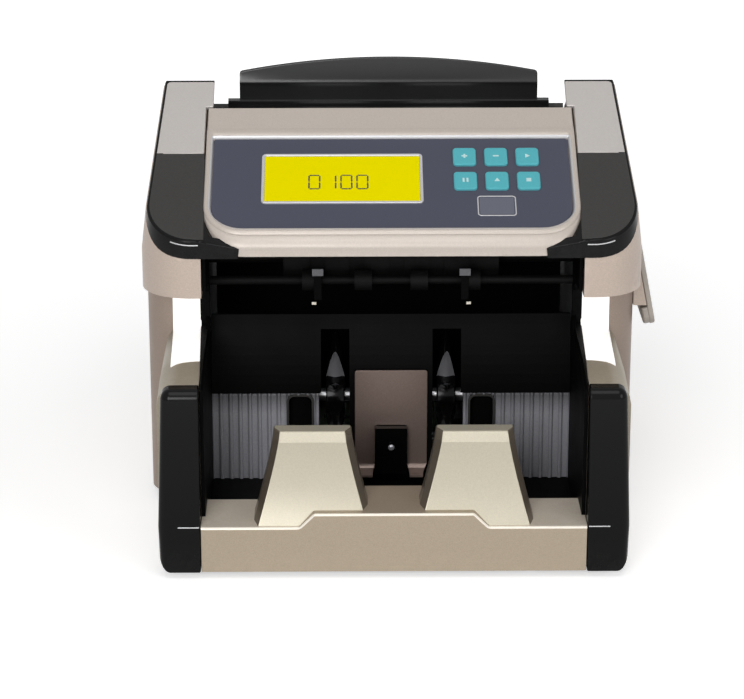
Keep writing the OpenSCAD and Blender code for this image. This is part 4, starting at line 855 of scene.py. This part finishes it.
# Its section, from the foot up the front, over the top and down the back. On the front: steps from the
# front's depth and heights. Over the top: depths and drops below the top edge.
front = [(0, guard.low), (0, guard.skirtTop), (-1.2, 216.0), (-1.4, 218.6), (-0.2, 219.4), (0.1, 227.0),
         (-0.5, 229.0), (-0.6, 230.5), (0.4, 232.0)]
over = [(guard.front + 0.7, 1.0), (guard.front + 1.0, 0.35), (guard.front + 1.6, 0.0),
        (guard.back - 0.6, 0.0), (guard.back - 0.1, 0.4), (guard.back, 1.1)]
back = [(guard.back, guard.skirtTop), (guard.back, guard.low + guard.kickRise),
        (guard.foot, guard.low + guard.footRise), (guard.foot, guard.low)]
highest = top - guard.under
columns = [stack(x, guard.front + step, np.minimum(height, highest)) for step, height in front]
columns += [stack(x, depth, top - drop) for depth, drop in over]
columns += [stack(x, depth, np.minimum(height, highest)) for depth, height in back]
piece("hopper_screen", [np.stack(columns, 1)], "guardBlack", "gloss_black", replaced=["hopper_guard"],
      sharp=40)

# Brackets that carry the guard on the side frames
outline = np.array(box2(guard.half - guardBracket.inset, guard.back - 0.2, guardBracket.outer,
                        guard.back + guardBracket.deep))
u, v, t = slabRings(outline, guard.low, guard.low + guardBracket.thick, guardBracket.edge, guardBracket.edge)
piece("guard_brackets", [alongZ(-u, v, t), alongZ(u, v, t)], "mattBlack", "matt_black", sharp=34)
print("stage: guard")

# The front bar: its top is raised in the middle and falls to both sides by ramps
bar = Sizes(half=105.9, low=4.0, side=30.6, middle=38.5, raised=44.0, ramp=8.0, front=-157.0, back=-115.0,
            backRound=0.8, edge=1.7, ramps=2.5, sideWeight=0.15, footWeight=0.4, lineLift=0.03, lineOut=0.06,
            lineWall=0.1)
foot = bar.raised + bar.ramp
outline = rounded([(-bar.half, bar.low), (bar.half, bar.low), (bar.half, bar.side), (foot, bar.side),
                   (bar.raised, bar.middle), (-bar.raised, bar.middle), (-foot, bar.side),
                   (-bar.half, bar.side)], [0, 0, 0, *[bar.ramps] * 4, 0], steps=4)
middle = middles(outline)
weight = np.where(middle[:, 1] < bar.low + 0.3, bar.footWeight, 1.0)
weight[np.abs(middle[:, 0]) > bar.half - 0.3] = bar.sideWeight
x, z, t = slabRings(outline, -bar.back, -bar.front, bar.backRound, bar.edge, weight=weight, steps=5)
shell = piece("front_bar_shell", [alongY(x, z, -t)], "barPaint", "casing", replaced=["front_bar"], sharp=24)
# the bar's upward faces take a lighter copy of its paint: painted light on its top
secondFinish(shell, "barTop", lambda centre, normal: (normal[:, 2] > 0.9) & (centre[:, 2] < bar.side + 1))
# a painted highlight on the bar's front bevel: the fillet's own rings over the top edges, a hair outside
# them, in a pale finish
top = (outline[:, 1] > bar.side - 0.1) & (np.abs(outline[:, 0]) < bar.half + 0.1)
order = np.argsort(outline[top, 0])
ribbon = alongY(x, z + bar.lineLift, -t - bar.lineOut)[-5:-1][:, top][:, order]
piece("bar_edge_highlight", [(ribbon, openSheet)], "paintedHighlightCream", "casing", wall=bar.lineWall, sharp=60)

finger = Sizes(
    x=44.6, foot=28.0, root=30.6, top=81.0, topHalf=17.85, footHalf=30.0, flare=1.25, front=-145.0, reach=9.5,
    curve=2.2, back=-131.2, backReach=3.2, chamfer=6.0, chamferGrow=0.5, wing=3.4, wingShrink=0.3, edge=0.8,
    bevel=5.2, bevelIn=3.4, rounds=(0.9, 0.9, 1.2, 1.5, 1.5, 1.2),
)
# A finger: rounded rectangles stacked upwards. Half width grows towards the foot as a power of the depth
# below the top, and the front swings out as a steeper power; the last rings are a quarter-circle fillet.
height = np.unique(np.concatenate([np.linspace(finger.foot, finger.top - finger.bevel, 16),
                                   [finger.top - finger.bevel + 0.3, finger.top - finger.edge]]))
a = np.radians([25, 50, 72, 90])
levels = np.concatenate([height, finger.top - finger.edge * (1 - np.sin(a))])
draws = np.concatenate([np.zeros(len(height)), finger.edge * (1 - np.cos(a))])
for name, k in mirrored.items():
    rings = []
    for z, d in zip(levels, draws):
        u = np.clip((finger.top - z) / (finger.top - finger.root), 0, 1.06)
        half = finger.topHalf + (finger.footHalf - finger.topHalf) * u ** finger.flare
        drawnBack = finger.bevelIn * np.clip((z - finger.top + finger.bevel) / finger.bevel, 0, 1)
        front = finger.front - finger.reach * u ** finger.curve + drawnBack
        back = finger.back + finger.backReach * u
        shoulder = front + finger.chamfer * (1 + finger.chamferGrow * u)
        wide = half + finger.wing * (1 - finger.wingShrink * u)
        corners = [(finger.x - half, front), (finger.x + half, front), (finger.x + wide, shoulder),
                   (finger.x + wide, back), (finger.x - wide, back), (finger.x - wide, shoulder)]
        o = inset(rounded(corners, finger.rounds, steps=2), d)
        rings.append(stack(o[:, 0], o[:, 1], z))
    shell = piece(name + "_stop_finger", [np.stack(rings)], "warmPaint", "casing", mirror=k,
                  replaced=[name + "_finger"], sharp=24)
    # the side faces take a darker copy of the paint: painted shade where they turn from the light
    secondFinish(shell, "facetPaint", lambda centre, normal: np.abs(normal[:, 0]) > 0.35)
print("stage: bar and fingers")

ribs = Sizes(
    start=41.7, to=103.7, low=17.0, high=69.8, pitch=5.6, rise=1.3, depth=-49.2, step=0.35, wall=1.6,
    gain=1.6, cut=0.2, power=0.8, rowLow=30.0, rowHigh=56.0,
    slotFrom=45.6, slotTo=59.8, slotLow=44.6, slotHigh=68.3,
)
slotFrame = Sizes(grow=0.9, footGrow=0.6, footRound=0.5, crownRound=4.5, cupInset=1.5, cupFront=-49.4,
                  cupBack=-44.0, cupWall=0.4)
# The ribbed sheet: its depth steps forward as a rounded wave of the distance across
x = np.unique(np.concatenate([np.arange(ribs.start, ribs.to, ribs.step),
                              [ribs.slotFrom, ribs.slotTo, ribs.to]]))
z = np.array([ribs.low, ribs.rowLow, ribs.slotLow, ribs.rowHigh, ribs.slotHigh, ribs.high])
wave = np.cos((x - ribs.start - 1) * 2 * math.pi / ribs.pitch)
y = ribs.depth - ribs.rise * np.clip(wave * ribs.gain - ribs.cut, 0, 1) ** ribs.power
slotStart, slotEnd = np.searchsorted(x, [ribs.slotFrom, ribs.slotTo])
for name, k in mirrored.items():
    sheet = (stack(x[None], y[None], z[:, None]), {**openSheet, "window": (2, 4, slotStart, slotEnd)})
    piece(name + "_ribbed_guide", [sheet], "ribGrey", "rib_grey", mirror=k, replaced=[name + "_rib_guide"],
          wall=ribs.wall)
    # the frame round the slot, with its section as steps inwards and depths, and behind it a matt black cup,
    # a painted shade inside the opening
    outline = rounded(box2(ribs.slotFrom - slotFrame.grow, ribs.slotLow - slotFrame.footGrow,
                           ribs.slotTo + slotFrame.grow, ribs.slotHigh + slotFrame.grow),
                      [slotFrame.footRound, slotFrame.footRound, slotFrame.crownRound, slotFrame.crownRound])
    profile = [(0, -48.6), (0, -50.3), (0.3, -50.8), (1.0, -50.8), (1.4, -50.4), (1.4, -48.6)]
    points = np.stack([alongY(*inset(outline, d).T, depth) for d, depth in profile])
    piece(name + "_slot_frame", [(points, {"along": True})], "darkPlate", "rib_grey", mirror=k)
    cup = inset(outline, slotFrame.cupInset).T
    points = np.stack([alongY(*cup, depth) for depth in (slotFrame.cupFront, slotFrame.cupBack)])
    piece(name + "_slot_cup", [(points, {"caps": (False, True)})], "mattBlack", "matt_black", mirror=k,
          wall=slotFrame.cupWall)

wheel = Sizes(
    x=32.3, y=-30.0, z=62.0, hub=14.0, root=1.5, tip=38.0, wide=11.0, tipWide=1.2, thick=3.6, tipThick=1.0,
    square=1.6, count=10, phase=-2.0, sweep=14.0, bend=1.3, lit=3, bore=4.05, rim=1.0,
)
# A paddle: a rounded section carried outwards from the hub, turning with a power of the distance; it
# narrows to the tip. Cosine and sine raised to a power square its section.
a = np.radians(np.arange(0, 360, 30))
u = np.concatenate([np.linspace(0, 0.94, 9), [0.98, 1.0]])
tipRound = np.concatenate([np.ones(9), [0.75, 0.3]])
radius = (wheel.hub - wheel.root + (wheel.tip - wheel.hub + wheel.root) * u)[:, None]
turn = np.radians(wheel.phase + wheel.sweep * u ** wheel.bend)[:, None]
halfWide = ((wheel.wide + (wheel.tipWide - wheel.wide) * u) / 2 * tipRound)[:, None]
halfThick = ((wheel.thick + (wheel.tipThick - wheel.thick) * u) / 2 * tipRound)[:, None]
across = halfWide * np.sign(np.cos(a)) * np.abs(np.cos(a)) ** wheel.square
around = halfThick * np.sign(np.sin(a)) * np.abs(np.sin(a)) ** wheel.square
# the hub: a ring turned about the shaft, its section as radii and places across
profile = np.array([(wheel.bore, -wheel.wide / 2), (wheel.hub - wheel.rim, -wheel.wide / 2),
                    (wheel.hub, -wheel.wide / 2 + wheel.rim), (wheel.hub, wheel.wide / 2 - wheel.rim),
                    (wheel.hub - wheel.rim, wheel.wide / 2), (wheel.bore, wheel.wide / 2)])
hubRadius, hubAcross = profile.T[:, :, None]
b = np.linspace(0, 2 * math.pi, 49)[:-1]
grids, bright = [], []
for k in (-1, 1):
    for spoke in range(wheel.count):
        angle = turn + spoke * 2 * math.pi / wheel.count
        y = wheel.y + radius * np.cos(angle) - around * np.sin(angle)
        z = wheel.z + radius * np.sin(angle) + around * np.cos(angle)
        # the lit spoke of each wheel goes to a pale grey piece: a painted highlight on the black paddles
        (bright if spoke == wheel.lit else grids).append(stack(k * wheel.x + across, y, z))
    hub = stack(k * wheel.x + hubAcross, wheel.y + hubRadius * np.cos(b), wheel.z + hubRadius * np.sin(b))
    grids.append((hub, {"along": True}))
piece("paddles", grids, "glossBlack", "matt_black", body="stacker", replaced=["paddle_wheels"], sharp=45)
piece("highlight_paddles", bright, "paintedHighlightGrey", "matt_black", body="stacker", sharp=45)

plate = Sizes(half=21.0, notch=9.3, low=27.0, notchTop=51.0, top=84.6, back=51.2, front=52.4, foot=9.6,
              footLow=21.8, footThick=1.1, footIn=1.5, footOut=2.5, notchRound=1.2, topRound=1.5)
outline = rounded([(-plate.half, plate.low), (-plate.notch, plate.low), (-plate.notch, plate.notchTop),
                   (plate.notch, plate.notchTop), (plate.notch, plate.low), (plate.half, plate.low),
                   (plate.half, plate.top), (-plate.half, plate.top)],
                  [0, 0, *[plate.notchRound] * 2, 0, 0, *[plate.topRound] * 2], steps=3)
x, z, t = slabRings(outline, plate.back, plate.front, 0.2, 0.35)
grids = [alongY(x, z, -t)]
# each foot: a flat strip carried forward round a quarter ellipse
a = np.radians(np.linspace(0, 90, 9))
thick = stack(0, plate.footThick * np.cos(a), plate.footThick * np.sin(a))
y = -plate.front + 0.2 - plate.foot * (1 - np.cos(a))
z = plate.low + 0.3 - (plate.low - plate.footLow) * np.sin(a)
for k in (-1, 1):
    inner = stack(k * (plate.notch + plate.footIn * np.sin(a)), y, z)
    outer = stack(k * (plate.half - plate.footOut * np.sin(a)), y, z)
    grids.append(np.stack([inner, outer, outer + thick, inner + thick], 1))
piece("centre_sheet", grids, "bronzePlate", "sheet_metal", replaced=["centre_plate"])

# Sensor lens: a dome on the sensor's face, a circle whose radius and depth follow a quarter ellipse; its pale
# grey is a painted highlight
lens = Sizes(radius=1.9, face=-58.9, rise=0.9, z=39.5)
a, b = np.meshgrid(np.radians(np.linspace(0, 88, 6)), np.radians(np.arange(0, 360, 15)), indexing="ij")
dome = stack(lens.radius * np.cos(a) * np.cos(b), lens.face - lens.rise * np.sin(a),
             lens.z + lens.radius * np.cos(a) * np.sin(b))
piece("sensor_lens", [dome], "paintedHighlightGrey", "gloss_black", sharp=60)


# An upright sheet between two depths, from a box of left, low, right and high; its edges are filleted
def upright(name, box, front, back, finish, slot, edge=0.3):
    u, v, t = slabRings(np.array(box2(*box), float), -back, -front, edge, edge)
    return piece(name, [alongY(u, v, -t)], finish, slot)


# The wall behind the throat, a matt black sheet that paints the shade of the recess behind the slots, the
# baffles in front of the hopper, and the small parts that hang from the head: each has a half width, a low
# and a high edge, a front and a back
throat = Sizes(half=104.5, low=30.0, high=171.0, front=44.0, thick=1.2)
baffle = Sizes(inner=54.0, outer=106.0, low=172.0, top=206.0, front=-1.6, thick=1.2)
headBracket = Sizes(x=42.0, half=3.2, low=142.5, high=146.6, front=-54.5, back=-53.2)
headArm = Sizes(x=42.0, half=2.2, low=128.0, high=143.0, front=-54.0, back=-53.4)
# the smallest part is a pale mark under the head: a painted highlight
headGlint = Sizes(x=44.2, half=1.3, low=125.5, high=127.0, front=-54.8, back=-54.0, edge=0.15)
upright("throat_back", (-throat.half, throat.low, throat.half, throat.high), throat.front,
        throat.front + throat.thick, "mattBlack", "matt_black")
for name, k in mirrored.items():
    left, right = sorted([k * baffle.inner, k * baffle.outer])
    upright(name + "_hopper_baffle", (left, baffle.low, right, baffle.top), baffle.front,
            baffle.front + baffle.thick, "mattBlack", "matt_black")
    for part, size, finish, slot in (("bracket", headBracket, "bracketGrey", "steel"),
                                     ("arm", headArm, "mattBlack", "dark_trim"),
                                     ("glint", headGlint, "paintedHighlightCream", "steel")):
        box = (k * size.x - size.half, size.low, k * size.x + size.half, size.high)
        upright(f"{name}_head_{part}", box, size.front, size.back, finish, slot, size.get("edge", 0.3))

# The pocket's flank: a black wall that widens towards the back, just proud of the arm and the column
flank = Sizes(inner=105.0, outer=105.7, front=-141.2, back=-50.4, flare=3.7, proud=0.7, low=90.0,
              columnLow=108.0, high=143.4, edge=0.3, crownY=(-140.8, -125, -110),
              crownZ=(107.9, 110.6, 112.0), columnIn=0.6, columnOut=0.9)
y = np.linspace(flank.front, flank.back, 14)
top = np.interp(y, flank.crownY, flank.crownZ) + flank.proud
outer = flank.outer + flank.flare * (y - flank.front) / (flank.back - flank.front)
rings = np.stack([stack(flank.inner, y, flank.low), stack(outer, y, flank.low),
                  stack(outer, y, top - flank.edge), stack(outer - flank.edge, y, top),
                  stack(flank.inner, y, top)], 1)
column = np.array(box2(flank.inner, flank.back - flank.columnIn, flank.outer + flank.flare,
                       flank.back + flank.columnOut)).T
grids = [rings, np.stack([stack(*column, z) for z in (flank.columnLow, flank.high)])]
for name, k in mirrored.items():
    piece(name + "_pocket_flank", grids, "mattBlack", "matt_black", mirror=k, sharp=40)

# A white, glowing strip in the side notch, down the column and forward over the arm: a painted highlight
# on the notch's wall. It drops from the arm's top and stands back from the column's face as their round
# edges do.
highlightStrip = Sizes(
    outer=125.2, outerFront=122.8, columnZ=(142.6, 132, 122), armFrom=-58, front=-112.5, corner=5.0,
    lift=0.45, under=0.4, wall=0.4, bend=5.0, bendFrom=-90, bendLong=22, armBelow=118, armFade=5.5,
    crownY=(-140.8, -114, -106), crownZ=(107.9, 111.4, 112.0),
)
a = np.radians(np.linspace(180, 270, 7))
faceY, topZ = casing.notch - highlightStrip.lift, baseArm.hump + highlightStrip.lift
y = np.concatenate([[faceY] * 3, faceY - highlightStrip.corner - highlightStrip.corner * np.cos(a),
                    np.linspace(highlightStrip.armFrom, highlightStrip.front, 9)])
z = np.concatenate([highlightStrip.columnZ, topZ + highlightStrip.corner + highlightStrip.corner * np.sin(a), [topZ] * 9])
y, z = y[:, None], z[:, None]
inner = flank.outer + flank.flare * (y - flank.front) / (flank.back - flank.front) - highlightStrip.under
outer = np.interp(y, [highlightStrip.front, casing.notch], [highlightStrip.outerFront, highlightStrip.outer])
u = np.linspace(0, 1, 16)[None]
x = inner + (outer - inner) * u
y = y - highlightStrip.bend * u * u * np.clip((highlightStrip.bendFrom - y) / highlightStrip.bendLong, 0, 1)


# How far a round edge has fallen at x: its radius less the root of the radius squared less the way into the
# edge squared, where the edge ends at side
def edgeFall(x, side, radius):
    return radius - np.sqrt(radius ** 2 - np.maximum(0, x - side + radius) ** 2)


armDrop = edgeFall(x, baseArm.side, baseArm.round)
armDrop = armDrop + baseArm.hump - np.interp(y, highlightStrip.crownY, highlightStrip.crownZ)
wallDrop = edgeFall(x, casing.half, sideCover.rearRound)
onArm = np.clip((highlightStrip.armBelow - z) / highlightStrip.armFade, 0, 1)
sheet = stack(x, y + wallDrop * (1 - onArm), z - armDrop * onArm)
for name, k in mirrored.items():
    piece(name + "_notch_highlight", [(sheet, openSheet)], "whiteLiner", "pale_plate", mirror=k, wall=highlightStrip.wall,
          sharp=60)
print("stage: pocket")

lines = Sizes(bead=0.38, bandDrop=2.5, bandFrom=108.5, bandTo=125.0, ledgeFrom=106.8, ledgeTo=118.4,
              ledgeHeight=30.5, ledgeDepth=0.45)
panelBevel = Sizes(half=100.6, gap=0.1)
ridgeEdge = Sizes(under=0.1, out=0.9, low=-2.2, high=0.35, round=0.6)


# A round silver bead carried along a path, a painted highlight on the edge it follows: a circle of points
# square to each step of the path, its first point set by a direction that no path here follows
def bead(name, path):
    step = np.gradient(path, axis=0)
    step /= np.linalg.norm(step, axis=1, keepdims=True)
    side = np.cross(step, [0.0, 0.31, 0.95])
    side /= np.linalg.norm(side, axis=1, keepdims=True)
    up = np.cross(side, step)
    turn = np.radians(np.arange(0, 360, 45))[None, :, None]
    rings = path[:, None] + lines.bead * (np.cos(turn) * side[:, None] + np.sin(turn) * up[:, None])
    return piece(name, [rings], "silverRim", "display_rim", sharp=80)


# painted highlights: a bead along the black band round the head, and one along each cheek's ledge
for name, k in mirrored.items():
    line = headLine(0, band.start, count=40)
    line = line[(line[:, 0] > lines.bandFrom) & (line[:, 0] < lines.bandTo)]
    line = np.concatenate([[[lines.bandFrom, line[0, 1]]], line])
    z = slopeHeight(line[:, 1]) - lines.bandDrop
    bead(name + "_band_highlight", stack(k * (line[:, 0] - lean(z)), line[:, 1], z))
    x = np.linspace(lines.ledgeFrom, lines.ledgeTo, 7)
    bead(name + "_cheek_highlight", stack(k * x, cheek.front + lines.ledgeDepth, lines.ledgeHeight))
# the bevel above the panel, in a pale finish that paints its highlight: its section, up the slope and square
# to it, carried across
x = np.linspace(-panelBevel.half, panelBevel.half, 5)
section = [(0, -1.35), (1.5, -1.35), (1.5, -0.1), (0.0, -1.1)]
strip = np.stack([onSlope(x, panel.high + panelBevel.gap + up, h) for up, h in section], 1)
piece("panel_top_bevel", [strip], "paintedHighlightCream", "display_rim", sharp=40)
profile = [(0, -0.3), (0, bezel.rim + 0.04), (0.25, bezel.rim + 0.06), (0.95, 1.0), (1.35, 0.1), (1.35, -0.3)]
frameRing("panel_edge", panelShape(1.55, 1.55, 1.4), profile, "silverRim", "display_rim")
inner = plates.innerEdge + plates.innerGap - plates.slot
outer = casing.half - plates.sideGap - band.edge - lean(ridgeZ) + ridgeEdge.out
outline = rounded(box2(inner, plates.end - ridgeEdge.under, outer, plates.end + ridgeEdge.out),
                  [0, 0, ridgeEdge.round, 0])
# a gloss black edge along the rear of each pale plate: a painted dark reflection of the plate's rear bevel
for name, k in mirrored.items():
    slab(name + "_ridge_edge", outline, ridgeEdge.low, ridgeEdge.high, (0.05, 0.3), onSlope, "glossBlack",
         "gloss_black", mirror=k)
print("stage: fine lines")

# The camera: how far it looks down and turns in degrees, its distance and the point it looks at in metres,
# and its focal length in pixels of a picture of this width
view = Sizes(rise=19.0, turn=0.6, distance=1.6, target=(-0.0175, 0.0, 0.0795), pixels=2681.4, width=744,
             sensor=36.0)
rise, turn = math.radians(view.rise), math.radians(view.turn)
ahead = Vector((math.sin(turn) * math.cos(rise), math.cos(turn) * math.cos(rise), -math.sin(rise)))
camera = bpy.data.objects.new("camera", bpy.data.cameras.new("camera"))
camera.data.sensor_width = view.sensor
camera.data.lens = view.pixels * view.sensor / view.width
camera.data.clip_start, camera.data.clip_end = 0.05, 100.0
camera.location = Vector(view.target) - ahead * view.distance
camera.rotation_mode = "QUATERNION"
camera.rotation_quaternion = ahead.to_track_quat("-Z", "Y")
bpy.context.scene.collection.objects.link(camera)
bpy.context.scene.camera = camera
bpy.context.scene.view_settings.view_transform = "Standard"

# The studio: the floor's half size in metres, its shade, how much it glows near the part and where that
# rises to full white, and the shade of the sky
studio = Sizes(floorHalf=12.0, floorShade=0.80, floorLift=0.55, liftFrom=0.25, liftTo=1.1, skyShade=0.22)
side = studio.floorHalf
floorMesh = bpy.data.meshes.new("floor")
floorMesh.from_pydata([(*corner, 0) for corner in box2(-side, -side, side, side)], [], [(0, 1, 2, 3)])
floor = bpy.data.objects.new("floor", floorMesh)
bpy.context.scene.collection.objects.link(floor)


# One where a ray comes from the camera, a mirror-like surface or glass, else zero
def seenDirectly(tree):
    path = node(tree, "LightPath")
    first = node(tree, "Math", operation="MAXIMUM")
    second = node(tree, "Math", operation="MAXIMUM")
    join(path, "Is Camera Ray", first, 0)
    join(path, "Is Glossy Ray", first, 1)
    join(first, 0, second, 0)
    join(path, "Is Transmission Ray", second, 1)
    return second


# The floor's paper: a matt shade, with a glow for the camera that grows with the distance from the part
floorFinish = bpy.data.materials.new("floorPaper")
floorFinish.use_nodes = True
tree = floorFinish.node_tree
tree.nodes.remove(tree.nodes["Principled BSDF"])
paper = node(tree, "BsdfDiffuse", Color=(*[studio.floorShade] * 3, 1))
glow = node(tree, "Emission")
dim = node(tree, "Math", operation="MULTIPLY")
place = node(tree, "TexCoord")
reach = node(tree, "VectorMath", operation="LENGTH")
fade = node(tree, "MapRange", **{"From Min": studio.liftFrom, "From Max": studio.liftTo,
                                 "To Min": studio.floorLift, "To Max": 1.0})
joined = node(tree, "AddShader")
join(place, "Object", reach, 0)
join(reach, "Value", fade, "Value")
join(fade, 0, dim, 1)
join(seenDirectly(tree), 0, dim, 0)
join(dim, 0, glow, "Strength")
join(paper, 0, joined, 0)
join(glow, 0, joined, 1)
join(joined, 0, tree.nodes["Material Output"], "Surface")
floorMesh.materials.append(floorFinish)

# The sky: white for the camera, and a low even light for everything else
world = bpy.data.worlds.new("studio")
bpy.context.scene.world = world
world.use_nodes = True
tree = world.node_tree
sky = tree.nodes["Background"]
sky.inputs["Color"].default_value = (1, 1, 1, 1)
level = node(tree, "MapRange", **{"To Min": studio.skyShade, "To Max": 1.0})
join(seenDirectly(tree), 0, level, "Value")
join(level, 0, sky, "Strength")

# Soft lamps: place, size in metres and power in watts; all of them point at the same place
lampTarget = Vector((0, 0, 0.12))
lamps = {
    "keyLamp": {"place": (-0.6, -2.3, 1.0), "size": 1.0, "power": 23.0},
    "fillLamp": {"place": (1.3, -1.6, 0.9), "size": 1.0, "power": 8.0},
    "topLamp": {"place": (0.0, -1.0, 1.8), "size": 1.2, "power": 9.0},
}
for name, lamp in lamps.items():
    data = bpy.data.lights.new(name, "AREA")
    data.energy, data.shape, data.size = lamp["power"], "DISK", lamp["size"]
    obj = bpy.data.objects.new(name, data)
    obj.location = lamp["place"]
    obj.rotation_mode = "QUATERNION"
    obj.rotation_quaternion = (lampTarget - obj.location).to_track_quat("-Z", "Y")
    bpy.context.scene.collection.objects.link(obj)
print("stage: camera, floor and light")
